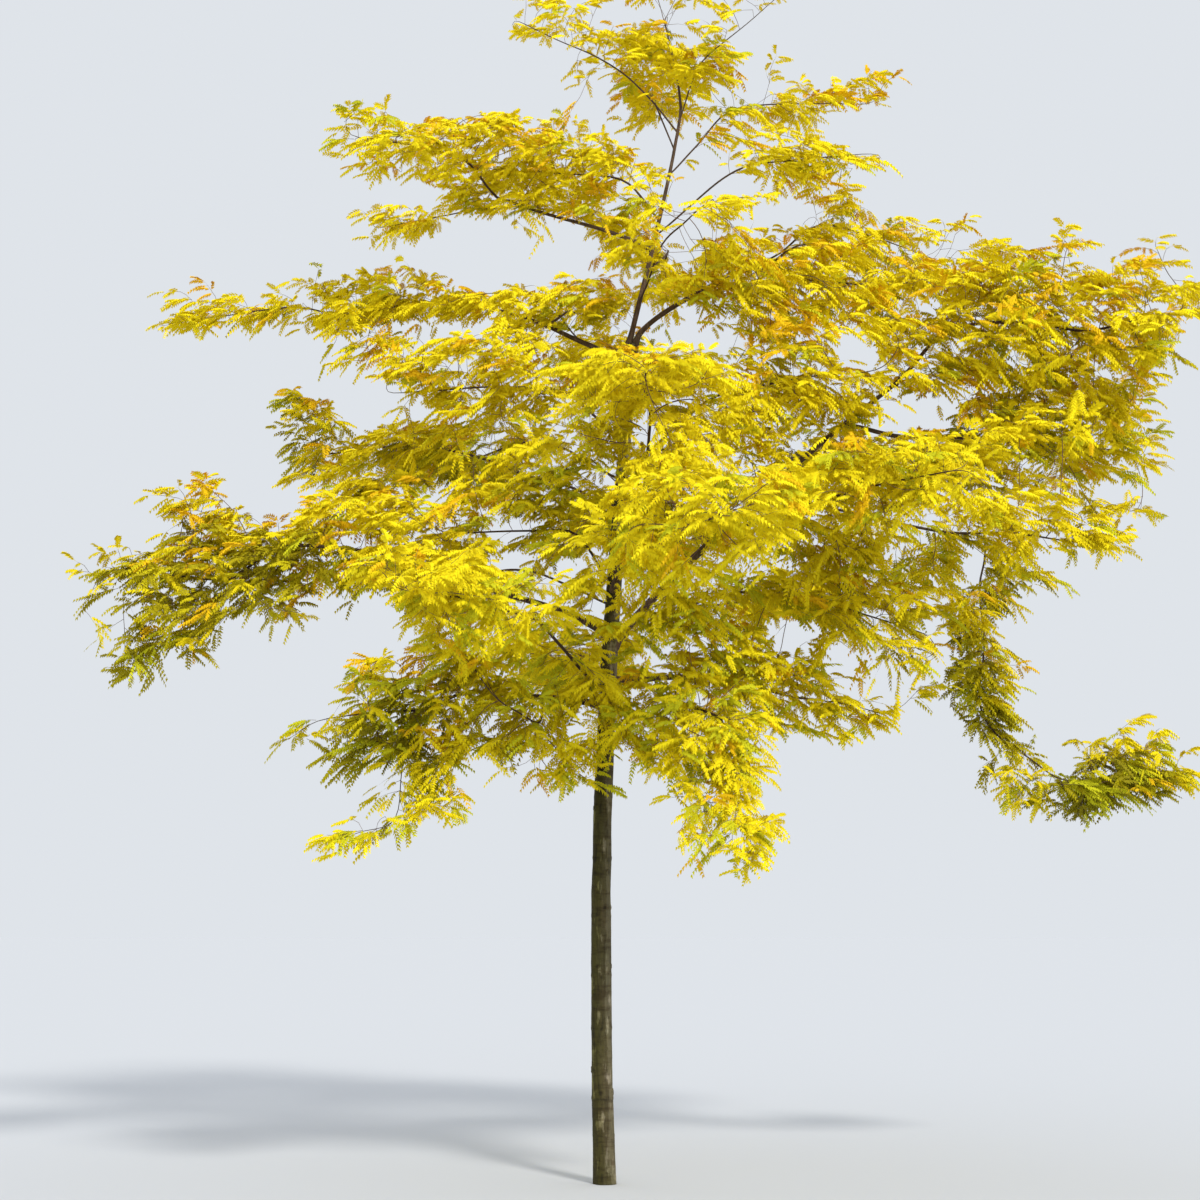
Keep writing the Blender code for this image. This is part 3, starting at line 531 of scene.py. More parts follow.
# Tufts that reach past the masses, as seen from the front: (x and z of the
# middle on the plane through the trunk, how far back it is, half width, half
# height)
TUFTS = (
    (0.40, 3.63, -0.90, 0.35, 0.21), (-0.21, 4.57, -0.60, 0.28, 0.22), (-1.66, 5.47, 0.10, 0.27, 0.20),
    (2.10, 3.98, -0.30, 0.23, 0.17), (1.01, 4.75, -0.80, 0.29, 0.16), (-1.52, 4.43, 0.10, 0.38, 0.14),
    (2.29, 3.70, 0.20, 0.28, 0.21), (0.76, 3.41, -0.80, 0.34, 0.12), (-1.10, 2.50, -0.60, 0.23, 0.25),
    (2.91, 5.97, -0.45, 0.46, 0.18), (-3.06, 3.31, -0.60, 0.18, 0.14), (3.44, 4.31, 0.30, 0.27, 0.12),
    (3.00, 4.86, -0.65, 0.36, 0.13), (2.50, 4.72, -0.70, 0.30, 0.11), (3.40, 4.98, -0.35, 0.22, 0.13),
    (3.53, 2.66, 0.78, 0.20, 0.10), (-0.98, 3.27, -0.55, 0.24, 0.14), (3.53, 4.75, 0.10, 0.18, 0.09),
    (-0.27, 2.59, -0.50, 0.17, 0.09), (0.10, 3.52, -0.75, 0.24, 0.11), (-0.40, 3.62, -0.75, 0.24, 0.12),
    (0.14, 2.56, -0.45, 0.08, 0.11), (-1.49, 2.83, -0.50, 0.12, 0.08), (1.32, 4.02, -0.60, 0.12, 0.08),
    (1.32, 6.18, 0.10, 0.22, 0.10), (-2.00, 4.97, 0.70, 0.19, 0.13), (1.56, 6.45, 0.20, 0.20, 0.13),
    (-0.21, 2.55, -0.50, 0.16, 0.12), (1.58, 2.89, -0.15, 0.37, 0.07), (-1.41, 3.17, -0.40, 0.21, 0.12),
    (2.01, 3.26, -0.50, 0.13, 0.13), (-0.12, 3.72, -0.60, 0.11, 0.18), (1.30, 3.21, -0.40, 0.19, 0.10),
    (0.93, 6.91, 0.20, 0.14, 0.12), (3.49, 5.06, 0.20, 0.17, 0.10), (-0.34, 4.06, -0.80, 0.17, 0.07),
    (-1.27, 6.30, 0.50, 0.14, 0.08), (2.67, 2.42, 0.55, 0.17, 0.09), (-2.36, 4.21, -0.30, 0.15, 0.09),
    (-1.67, 2.09, -0.80, 0.22, 0.06), (-0.83, 3.20, -0.60, 0.18, 0.09), (1.78, 7.29, 0.50, 0.20, 0.06),
    (0.59, 2.05, -1.20, 0.13, 0.08), (2.86, 5.11, 0.00, 0.17, 0.08), (3.15, 6.15, -0.40, 0.11, 0.09),
    (0.87, 2.60, -0.90, 0.11, 0.12), (-0.68, 7.01, -0.10, 0.17, 0.05), (0.15, 2.54, -0.60, 0.07, 0.11),
    (-2.64, 4.44, -0.50, 0.14, 0.07), (-1.69, 2.62, -0.50, 0.13, 0.06), (3.62, 4.74, 0.50, 0.09, 0.08),
    (3.40, 3.98, 0.10, 0.09, 0.08), (-2.86, 5.78, 0.50, 0.11, 0.06), (-1.41, 2.75, -0.50, 0.11, 0.07),
    (-0.15, 6.02, -0.10, 0.11, 0.06), (1.31, 4.04, -0.90, 0.12, 0.06), (-2.94, 5.56, 0.55, 0.10, 0.07),
    (2.34, 6.21, 0.40, 0.11, 0.07), (1.54, 6.94, 0.20, 0.10, 0.06), (2.46, 2.98, 0.50, 0.10, 0.08),
    (0.61, 6.86, 0.10, 0.08, 0.06), (-2.18, 2.76, -0.50, 0.10, 0.04), (-3.38, 3.92, -0.60, 0.07, 0.06),
    (3.60, 2.87, 0.80, 0.05, 0.07), (-1.95, 5.84, 0.40, 0.06, 0.08), (-2.89, 3.99, -0.60, 0.34, 0.11),
    (0.65, 3.65, -0.90, 0.10, 0.22), (-0.14, 3.74, -0.70, 0.16, 0.11), (-2.57, 3.59, -0.50, 0.18, 0.11),
    (-1.13, 2.42, -0.60, 0.09, 0.16), (2.03, 3.31, -0.50, 0.12, 0.17), (-3.09, 3.29, -0.50, 0.19, 0.11),
    (-1.96, 4.54, 0.60, 0.18, 0.07), (2.73, 3.84, -0.30, 0.19, 0.08), (-0.11, 4.56, -0.60, 0.17, 0.07),
    (1.12, 3.28, -0.60, 0.15, 0.08), (-0.11, 6.03, -0.10, 0.18, 0.06), (3.55, 4.64, 0.40, 0.12, 0.10),
    (0.17, 3.75, -0.80, 0.08, 0.13), (-0.41, 2.61, -0.50, 0.15, 0.08), (2.15, 5.40, -0.30, 0.11, 0.07),
    (3.91, 5.81, -0.40, 0.09, 0.08), (-1.06, 3.10, -0.50, 0.09, 0.09), (1.46, 6.92, 0.20, 0.14, 0.09),
    (3.70, 6.00, -0.40, 0.15, 0.12), (2.38, 3.08, 0.40, 0.09, 0.11), (1.71, 6.38, 0.30, 0.11, 0.07),
    (-1.08, 2.72, -0.50, 0.08, 0.09), (-0.14, 2.53, -0.50, 0.07, 0.10), (1.60, 6.66, 0.20, 0.14, 0.06),
    (3.24, 4.22, 0.30, 0.06, 0.09), (-0.29, 6.95, -0.10, 0.09, 0.06), (-2.77, 4.35, -0.50, 0.10, 0.06),
    (3.03, 3.84, 0.20, 0.06, 0.10), (0.90, 2.03, -1.10, 0.08, 0.11), (1.98, 6.69, 0.20, 0.13, 0.04),
    (3.08, 2.75, 0.60, 0.08, 0.05), (3.78, 2.50, 0.80, 0.06, 0.12), (3.06, 2.41, 0.70, 0.18, 0.06),
    (-1.98, 4.96, 0.70, 0.10, 0.09), (1.34, 7.12, 0.50, 0.10, 0.11), (3.35, 3.97, 0.10, 0.15, 0.08),
    (-1.57, 2.65, -0.50, 0.24, 0.09), (-1.70, 2.97, -0.50, 0.11, 0.08), (0.51, 3.56, -0.90, 0.10, 0.07),
    (3.40, 2.76, 0.70, 0.15, 0.11), (3.20, 2.46, 0.70, 0.34, 0.12), (2.64, 2.47, 0.55, 0.17, 0.11),
    (2.60, 3.05, 0.40, 0.16, 0.10), (2.40, 3.32, 0.30, 0.14, 0.12), (2.14, 3.16, -0.10, 0.12, 0.13),
    (-0.55, 6.37, -0.22, 0.24, 0.09), (-0.14, 6.29, -0.20, 0.16, 0.08), (-1.31, 6.29, 0.40, 0.20, 0.08),
    (1.53, 4.17, -0.60, 0.20, 0.13), (-0.06, 4.60, -0.60, 0.13, 0.17), (-1.17, 2.50, -0.60, 0.13, 0.15),
    (-0.37, 2.59, -0.50, 0.12, 0.10), (-1.76, 4.00, -0.40, 0.13, 0.11), (3.12, 6.14, -0.40, 0.12, 0.10),
    (2.87, 4.48, -0.30, 0.32, 0.06), (-3.07, 3.33, -0.50, 0.15, 0.09), (1.66, 2.92, -0.20, 0.12, 0.07),
    (-2.26, 3.93, -0.50, 0.16, 0.09), (-1.96, 4.93, 0.50, 0.14, 0.13), (-1.58, 3.07, -0.50, 0.08, 0.13),
    (-1.29, 5.81, 0.30, 0.12, 0.08), (-0.46, 5.21, -0.50, 0.11, 0.07), (-1.90, 4.28, -0.30, 0.22, 0.08),
    (3.05, 2.37, 0.70, 0.24, 0.09), (3.52, 2.50, 0.75, 0.26, 0.12), (3.45, 2.80, 0.75, 0.18, 0.09),
    (-0.45, 6.47, -0.15, 0.24, 0.10), (-0.95, 6.45, 0.10, 0.20, 0.08),
)
tufts = []
for x, z, back, half_x, half_z in TUFTS:
    scale = (back - EYE[1]) / (0.0 - EYE[1])
    middle = np.array((EYE[0] + (x - EYE[0]) * scale, back, EYE[2] + (z - EYE[2]) * scale))
    tufts.append((middle, np.array((half_x, (half_x + half_z) / 2, half_z)) * scale))

POLAR, ROUND = 24, 48        # directions in which each mass's reach is kept


def beyond(p):
    """How far points lie outside the nearest foliage mass (negative inside),
    and outside the next one."""
    best, second = np.full(len(p), 1e9), np.full(len(p), 1e9)
    for m in masses.values():
        v = p - m["middle"]
        far = np.linalg.norm(v, axis=1)
        i = np.clip((np.arccos(np.clip(v[:, 2] / np.maximum(far, 1e-9), -1, 1)) / pi * POLAR).astype(int), 0, POLAR - 1)
        j = np.clip(((np.arctan2(v[:, 1], v[:, 0]) + pi) / (2 * pi) * ROUND).astype(int), 0, ROUND - 1)
        over = far - m["radial"][i, j]
        second = np.minimum(second, np.maximum(over, best))
        best = np.minimum(best, over)
    for middle, half in tufts:
        v = (p - middle) / half
        far = np.linalg.norm(v, axis=1)
        over = np.linalg.norm(p - middle, axis=1) * (1 - 1 / np.maximum(far, 1e-6))
        best = np.minimum(best, over)
    return best, second


masses = {}
for name in MASSES:
    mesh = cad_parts[name].data
    mesh.calc_loop_triangles()
    co = np.empty(len(mesh.vertices) * 3)
    mesh.vertices.foreach_get("co", co)
    co = co.reshape(-1, 3)
    tri = np.array([t.vertices[:] for t in mesh.loop_triangles])
    middle = (co.min(0) + co.max(0)) / 2
    a, b, c = co[tri[:, 0]] - middle, co[tri[:, 1]] - middle, co[tri[:, 2]] - middle
    tet = np.maximum(np.einsum("ij,ij->i", a, np.cross(b, c)) / 6, 0)
    middle = middle + (tet[:, None] * (a + b + c) / 4).sum(0) / tet.sum()
    a, b, c = co[tri[:, 0]] - middle, co[tri[:, 1]] - middle, co[tri[:, 2]] - middle
    tet = np.maximum(np.einsum("ij,ij->i", a, np.cross(b, c)) / 6, 0)

    def inside(n, power=3.0, inset=0.0, a=a, b=b, c=c, tet=tet, middle=middle):
        """n random points in the mass; a higher power keeps them further out."""
        pick = rng.choice(len(tet), n, p=tet / tet.sum())
        w = rng.dirichlet((1, 1, 1), n)
        edge = w[:, :1] * a[pick] + w[:, 1:2] * b[pick] + w[:, 2:] * c[pick]
        far = np.linalg.norm(edge, axis=1, keepdims=True)
        edge = edge * np.maximum(far - inset, far * 0.35) / far
        return middle + edge * rng.random((n, 1)) ** (1 / power)

    cloud = inside(500) - middle
    spread, axes = np.linalg.eigh(cloud.T @ cloud / len(cloud))
    axis = axes[:, 2]
    reach = np.abs(cloud @ axis).max()
    tree = BVHTree.FromPolygons([Vector(p) for p in co], tri.tolist())
    radial = np.empty((POLAR, ROUND))
    for i in range(POLAR):
        for j in range(ROUND):
            polar, turn = pi * (i + 0.5) / POLAR, 2 * pi * (j + 0.5) / ROUND - pi
            d = Vector((sin(polar) * cos(turn), sin(polar) * sin(turn), cos(polar)))
            hit = tree.ray_cast(Vector(middle) + d * 5, -d)
            radial[i, j] = 5 - hit[3] if hit[0] is not None else 0.05
    masses[name] = {"middle": middle, "axis": axis, "reach": reach, "volume": tet.sum(),
                    "inside": inside, "radial": radial}

# --------------------------------------------- the limbs inside the masses
# Nodes of the whole skeleton: a place, the node it grows from, and its limb.
place, parent, kind = [], [], []


def add_line(points, start, what):
    before = start
    ids = []
    for p in points:
        place.append(np.asarray(p, float))
        parent.append(before)
        kind.append(what)
        before = len(place) - 1
        ids.append(before)
    return ids


trunk_ids = add_line([trunk_centre(z) for z in np.arange(0, TRUNK_HEIGHT, 0.06)], -1, "trunk")
limb_ids = {}
for spec in LEADERS + BOUGHS:
    name, carrier = spec[:2]
    points = limbs[name][0]
    length = np.linalg.norm(np.diff(points, axis=0), axis=1).sum()
    t = np.linspace(0, 1, max(4, int(length / STEP)))
    line = np.stack([np.interp(t, np.linspace(0, 1, len(points)), points[:, c]) for c in range(3)], 1)
    carrier_ids = trunk_ids if carrier == "trunk" else limb_ids[carrier]
    near = min(carrier_ids, key=lambda i: np.linalg.norm(place[i] - line[0]))
    limb_ids[name] = add_line(line, near, name)


def hermite(p0, m0, p1, m1, steps):
    t = np.linspace(0, 1, steps)[:, None]
    return ((2 * t**3 - 3 * t**2 + 1) * p0 + (t**3 - 2 * t**2 + t) * m0
            + (-2 * t**3 + 3 * t**2) * p1 + (t**3 - t**2) * m1)


# What carries the limb inside each mass, and how far along it: a share of the
# way from the carrier's foot to its end.
GROWS_FROM = {
    "top_left": ("leader", 0.93), "top_middle": ("leader", 1.0), "top_right": ("leader", 0.97),
    "top_back": ("leader", 0.86), "upper_right_high": ("leader", 0.76),
    "upper_right": ("leader", 0.50), "upper_left": ("leader", 0.56),
    "upper_left_tip": ("upper_left_bough", 1.0), "upper_left_lobe": ("upper_left_bough", 0.85),
    "upper_front": ("leader", 0.20), "upper_back": ("leader", 0.32),
    "middle_left_inner": ("mid_left_bough", 0.55), "middle_left": ("mid_left_bough", 1.0),
    "middle_left_tip": ("middle_left", 1.0), "middle_right_inner": ("right_leader", 0.62),
    "middle_right": ("right_leader", 1.0), "upper_right_low": ("right_leader", 0.85),
    "middle_back": ("trunk", 0.93), "right_high": ("right_bough", 1.0),
    "right_high_tip": ("right_high", 1.0), "right_middle": ("right_bough", 0.82),
    "right_middle_tip": ("right_middle", 1.0), "right_low": ("right_bough", 0.52),
    "right_front": ("right_bough", 0.34), "right_back": ("right_bough", 0.62),
    "right_hanging": ("right_middle", 0.70), "right_hanging_tip": ("right_hanging", 0.95),
    "centre_front": ("front_bough", 1.0), "centre_left": ("trunk", 0.88),
    "left_outer": ("trunk", 0.80), "centre_right": ("trunk", 0.85),
    "centre_right_low": ("trunk", 0.635), "left_low": ("left_bough", 1.0),
    "left_low_tip": ("left_low", 1.0), "left_low_inner": ("trunk", 0.70),
    "front_low": ("front_bough", 0.60), "front_low_left": ("trunk", 0.57),
    "back_low": ("back_low_bough", 1.0), "back_low_right": ("trunk", 0.65),
    "back_low_left": ("trunk", 0.68), "back_middle": ("back_bough", 1.0),
    "back_middle_left": ("trunk", 0.83), "lower_left": ("lower_left_bough", 1.0),
    "lower_left_inner": ("lower_left_bough", 0.45), "lower_left_droop": ("lower_left", 0.45),
    "lower_right": ("lower_right_bough", 0.35), "lower_right_droop": ("lower_right", 0.90),
    "lower_right_arm": ("lower_right_bough", 1.0),
}
carriers = {"trunk": trunk_ids, **limb_ids}
lead_ids, hanging_ids = [], []
waiting = list(GROWS_FROM)
while waiting:
    name = next(n for n in waiting if GROWS_FROM[n][0] in carriers)
    waiting.remove(name)
    carrier, share = GROWS_FROM[name]
    ids = carriers[carrier]
    source = ids[int(round(share * (len(ids) - 1)))]
    m = masses[name]
    p0 = place[source]
    axis = m["axis"] * (1 if (m["middle"] - p0) @ m["axis"] > 0 else -1)
    if abs((m["middle"] - p0) @ axis) < 0.12:      # the limb starts beside its middle
        axis = m["axis"] * (1 if m["axis"] @ (heading(0) * (m["middle"][0] - 0.1) + heading(90) * m["middle"][1]) > 0 else -1)
    tip = m["middle"] + axis * (m["reach"] * 0.80)
    here = (p0 - m["middle"]) @ axis
    off = np.linalg.norm(p0 - m["middle"] - axis * here)
    entry = m["middle"] + axis * min(max(-0.55 * m["reach"], here + 0.9 * off + 0.06), 0.35 * m["reach"])
    gap = np.linalg.norm(entry - p0)
    onward = unit(p0 - place[parent[source]])
    if carrier == "trunk" or share < 0.95:
        onward = unit(onward * 0.35 + unit(entry - p0) * (1, 1, 0.4))
    m0 = unit(onward * 0.7 + unit(entry - p0)) * gap
    m1 = axis * gap * 0.9
    line = list(hermite(p0, m0, entry, m1, max(3, int(gap / STEP) + 1))[1:])
    run = np.linalg.norm(tip - entry)
    t = np.linspace(0, 1, max(4, int(run / STEP)))[1:, None]
    bend = 0.06 if axis[2] > -0.5 else 0.0
    line += list(entry + (tip - entry) * t - UP * bend * run * t**2)
    line = np.array(line)
    s = np.arange(len(line))[:, None] * STEP
    seed = len(lead_ids) + 60
    wiggle = np.stack([lattice(np.concatenate([s * 3.1, s * 0 + seed, s * 0 + c], 1), 17 + c) for c in range(3)], 1)
    hangs = "hanging" in name or "droop" in name
    line = line + wiggle * np.minimum(s, 0.30) / 0.30 * (0.026, 0.026, 0.020) * (3.0 if hangs else 1.0)
    ids = add_line(line, source, "lead")
    lead_ids.append(ids)
    hanging_ids += ids if hangs else []
    carriers[name] = ids

# ---------------------------------------------------- twigs by open space
wanted = []
for name in MASSES:
    m = masses[name]
    n = int(PLACES * m["volume"] ** 0.82) + 14
    wanted.append(m["inside"](n, 4.2, INSET))
for middle, half in tufts:
    n = int(PLACES * (4.2 * np.prod(half)) ** 0.82) + 6
    wanted.append(middle + half * unit(rng.normal(0, 1, (n, 3))) * rng.random((n, 1)) ** (1 / 3.5) * 0.95)
# the gaps between masses that lie close together
between = np.array(cad_low) + rng.random((420000, 3)) * (np.array(cad_high) - np.array(cad_low))
over, next_over = beyond(between)
between = between[(over > 0.0) & (over < 0.17) & (next_over < 0.25)]
print("places between masses", len(between))
wanted = np.concatenate(wanted + [between[:BETWEEN]])
wanted = wanted[~in_window(wanted)]
print("places", len(wanted))

positions = np.array(place)
origin_ids = np.array([i for i in range(len(place)) if kind[i] != "trunk" or place[i][2] > 2.75])
nearest = np.full(len(wanted), -1)
distance = np.full(len(wanted), 1e9)


def look(new_ids):
    """Each wanted place keeps the skeleton node nearest to it."""
    new = positions[new_ids]
    for lo in range(0, len(new), 400):
        d = np.linalg.norm(wanted[:, None] - new[None, lo:lo + 400], axis=2)
        j = d.argmin(1)
        dj = d[np.arange(len(wanted)), j]
        closer = dj < distance - 1e-9
        distance[closer] = dj[closer]
        nearest[closer] = np.asarray(new_ids)[lo + j[closer]]


look(origin_ids)
parents = list(parent)
heading_of = np.zeros((len(place), 3))
for i, p in enumerate(parents):
    heading_of[i] = unit(positions[i] - positions[p]) if p >= 0 else UP
open_places = np.ones(len(wanted), bool)
children_dirs = {}
for _round in range(90):
    active = open_places & (distance < SIGHT) & (distance > REACHED)
    if active.sum() < 4:
        break
    ids = nearest[active]
    pull = unit(wanted[active] - positions[ids])
    grow_ids, inverse = np.unique(ids, return_inverse=True)
    total = np.zeros((len(grow_ids), 3))
    np.add.at(total, inverse, pull)
    direction = unit(unit(total) * 0.9 + heading_of[grow_ids] * 0.50 + UP * 0.02)
    direction = unit(direction + rng.normal(0, 0.10, direction.shape))
    fresh = []
    new_positions, new_parents, new_headings = [], [], []
    for g, d in zip(grow_ids, direction):
        if any(d @ e > 0.86 for e in children_dirs.get(g, ())):
            # it would only double a twig that is there: give these places up
            open_places[active & (nearest == g)] = False
            continue
        children_dirs.setdefault(g, []).append(d)
        new_positions.append(positions[g] + d * STEP)
        new_parents.append(int(g))
        new_headings.append(d)
    if not new_positions:
        continue
    first = len(positions)
    positions = np.concatenate([positions, new_positions])
    heading_of = np.concatenate([heading_of, new_headings])
    parents += new_parents
    kind += ["twig"] * len(new_positions)
    look(np.arange(first, len(positions)))
parents = np.array(parents)
n_nodes = len(positions)

# limb thickness adds up from the tips
children = [[] for _ in range(n_nodes)]
for i, p in enumerate(parents):
    if p >= 0:
        children[p].append(i)
load = np.zeros(n_nodes)
for i in range(n_nodes - 1, -1, -1):
    if not children[i]:
        load[i] = TIP_RADIUS**PIPE_POWER
    # parents always come before their children in the list
for i in range(n_nodes - 1, -1, -1):
    if parents[i] >= 0:
        load[parents[i]] += load[i]
radius = load ** (1 / PIPE_POWER)
radius[hanging_ids] *= 0.65
print("skeleton nodes", n_nodes, "tips", sum(1 for c in children if not c), "foot radius", radius[0])

# ------------------------------------------------------------------ sprays
# Leafy shoots at the tips and along the thin twigs.
crown_middle = np.array((0.15, 0.1, 4.6))
tips = np.array([i for i in range(n_nodes) if not children[i] and kind[i] in ("twig", "lead")])
thin = np.array([i for i in range(n_nodes) if kind[i] in ("twig", "lead") and children[i] and radius[i] < 0.0046])
side_shoots = rng.choice(thin, min(len(thin), int(len(tips) * 1.20)), replace=False)
spurs = np.array([i for i in range(n_nodes) if kind[i] in ("twig", "lead") and 0.0046 <= radius[i] < 0.011])
spurs = rng.choice(spurs, int(len(spurs) * 0.85), replace=False)
spurs = np.concatenate([spurs, hanging_ids, hanging_ids]).astype(int)
base_ids = np.concatenate([tips, side_shoots, spurs])
at_spur = np.arange(len(base_ids)) >= len(tips) + len(side_shoots)
at_tip = np.arange(len(base_ids)) < len(tips)
n = len(base_ids)
base = positions[base_ids]
onward = heading_of[base_ids]
lateral = unit(np.cross(onward, UP + rng.normal(0, 0.15, (n, 3))))
turn = np.where(rng.random(n) < 0.5, -1.0, 1.0)[:, None]
outward = unit((base - crown_middle) * (1, 1, 0.35))
direction = np.where(at_tip[:, None], onward, onward * 0.55 + lateral * turn * 0.85)
direction = unit(unit(direction) + outward * 0.35 + rng.normal(0, 0.16, (n, 3)))
direction[:, 2] = direction[:, 2] * 0.6 - 0.02 + rng.normal(0, 0.10, n)
direction = unit(direction)
shoot_length = np.where(at_tip, rng.uniform(0.11, 0.22, n), rng.uniform(0.08, 0.18, n))
shoot_length = np.where(at_spur, rng.uniform(0.07, 0.16, n), shoot_length)
per_leaf = shoot_length.sum() / LEAVES * 1.0
count = np.maximum(3, np.round(shoot_length / per_leaf * 0.93 + rng.uniform(-0.8, 0.8, n))).astype(int)
shoot_droop = rng.uniform(0.15, 0.75, n)
normal = unit(UP + rng.normal(0, 0.30, (n, 3)) + outward * 0.15)
normal = unit(normal - direction * (normal * direction).sum(1)[:, None])
print("sprays", n, "leaves", count.sum())

# how open each spray is to the eye from all round, by the leaves in the way
cell = 0.22
key = np.floor(base / cell).astype(int)
low = key.min(0) - 2


def leaves_toward(direction, amount, far_most):
    """The leaves that stand between each spray and a far place."""
    grid = np.zeros(tuple(key.max(0) - low + 3))
    np.add.at(grid, tuple((key - low).T), amount)
    total = np.zeros(n)
    for far in np.arange(0.18, far_most, 0.20):
        q = np.floor((base + direction * far) / cell).astype(int) - low
        ok = ((q >= 0) & (q < grid.shape)).all(1)
        total[ok] += grid[tuple(q[ok].T)]
    return total


seen = np.exp(-leaves_toward(unit(EYE - crown_middle), count, 4.0) / 110.0)
for turn_round in range(0, 360, 45):
    for climb in (0.1, 0.9):
        way = unit(heading(turn_round) + UP * climb)
        seen = np.maximum(seen, 0.85 * np.exp(-leaves_toward(way, count, 4.0) / 110.0))
fullness = np.clip(seen / 0.62, 0.30, 1.0)
# and how much sun reaches it
sun = np.exp(-leaves_toward(SUN, count * fullness * 0.75, 2.6) / 75.0)
print("seen", np.percentile(seen, (5, 25, 50, 75, 95)).round(2), "sun", np.percentile(sun, (10, 50, 90)).round(2))

# ------------------------------------------------------------------ leaves
spray = np.repeat(np.arange(n), count)
step_in = np.concatenate([np.arange(c) for c in count])
m = len(spray)
share = 0.10 + 0.90 * step_in / np.maximum(count[spray] - 1, 1)
last = step_in == count[spray] - 1
sd, sn, sl = direction[spray], normal[spray], shoot_length[spray]
along = unit(sd - UP * (shoot_droop[spray] * share)[:, None])
leaf_base = base[spray] + sl[:, None] * (sd * share[:, None] - UP * (shoot_droop[spray] * share**2 / 2)[:, None])
across = unit(np.cross(along, sn))
hand = np.where((step_in + spray) % 2 == 0, 1.0, -1.0)
swing = np.radians(70 - 42 * share + rng.normal(0, 9, m))
swing = np.where(last, np.radians(rng.normal(0, 8, m)), swing)
lift = np.radians(rng.normal(16, 12, m))
swing = swing * 0.9
leaf_dir = unit(along * np.cos(swing)[:, None] + across * (hand * np.sin(swing) * np.cos(lift))[:, None]
                + sn * (np.sin(lift) * 0.8)[:, None])
leaf_dir = unit(leaf_dir + outward[spray] * (0.22, 0.22, 0.0))
leaf_length = LEAF_LENGTH * rng.uniform(0.80, 1.18, m) * (0.74 + 0.34 * np.sin(pi * (0.15 + 0.72 * share)))
leaf_droop = rng.uniform(0.45, 1.15, m)
roll = rng.normal(0, 0.34, m)
leaf_normal = unit(UP * 0.55 + sn * 0.35 + across * roll[:, None] + outward[spray] * (1, 1, 0) * 0.55
                   + rng.normal(0, 0.15, (m, 3)))
leaf_side = unit(np.cross(leaf_dir, leaf_normal))
fold = np.radians(rng.normal(38, 16, m))

low_limit = np.array(cad_low) - 0.028 * (np.array(cad_high) - np.array(cad_low)) - 0.004
high_limit = np.array(cad_high) + 0.028 * (np.array(cad_high) - np.array(cad_low)) + 0.004
end = leaf_base + leaf_length[:, None] * (leaf_dir - UP * leaf_droop[:, None] / 2)
keep = ((end > low_limit + 0.03) & (end < high_limit - 0.03)
        & (leaf_base > low_limit + 0.03) & (leaf_base < high_limit - 0.03)).all(1)
over, next_over = beyond(end)
keep &= over < rng.uniform(0.02, 0.145, m) + 0.12 * (next_over < 0.25)
keep &= rng.random(m) < fullness[spray]
# flat tufts with gaps between them, more broken along the hanging shoots
tufty = (0.7 * lattice(leaf_base / (0.27, 0.27, 0.12), 91) + 0.3 * lattice(leaf_base / (0.12, 0.12, 0.06), 92)
         + rng.uniform(-0.10, 0.10, m))
hanging = np.zeros(n_nodes, bool)
hanging[hanging_ids] = True
full = np.zeros(m, bool)
for middle, half in tufts:
    full |= np.linalg.norm((leaf_base - middle) / (half + 0.02), axis=1) < 1
keep &= (tufty > np.where(hanging[base_ids][spray], -0.16, -0.36)) | full
keep &= ~in_window(leaf_base + (end - leaf_base) * 0.6, -0.02) | (rng.random(m) < 0.14)
# twigs that ended up without leaves are left out, and shoots end at their
# last leaf
kept_on = np.bincount(spray[keep], minlength=n)
leaves_past = np.zeros(n_nodes)
np.add.at(leaves_past, base_ids, kept_on * (kept_on >= 2))
bare_run = np.where(leaves_past > 0, 0.0, 9.0)
for i in range(n_nodes - 1, -1, -1):
    p = parents[i]
    if p >= 0:
        leaves_past[p] += leaves_past[i]
        bare_run[p] = min(bare_run[p], bare_run[i] + STEP)
dropped = (bare_run > 0.16 + 0.012 * leaves_past) & (leaves_past > 0)
for i in range(n_nodes):
    if parents[i] >= 0 and kind[parents[i]] == "twig" and dropped[parents[i]]:
        dropped[i] = True
dropped &= np.array([k == "twig" for k in kind])
keep &= ~dropped[base_ids][spray]
kept_on = np.bincount(spray[keep], minlength=n)
print("leaves lost with bare twigs", dropped.sum())
reach_of = np.zeros(n)
np.maximum.at(reach_of, spray[keep], share[keep])
leafy = np.zeros(n_nodes, bool)
leafy[base_ids[kept_on >= 2]] = True
for i in range(n_nodes - 1, -1, -1):
    if leafy[i] and parents[i] >= 0:
        leafy[parents[i]] = True
keep &= (kept_on >= 2)[spray]
print("leaves kept", keep.sum(), "of", m, "bare shoots", (kept_on < 2).sum())

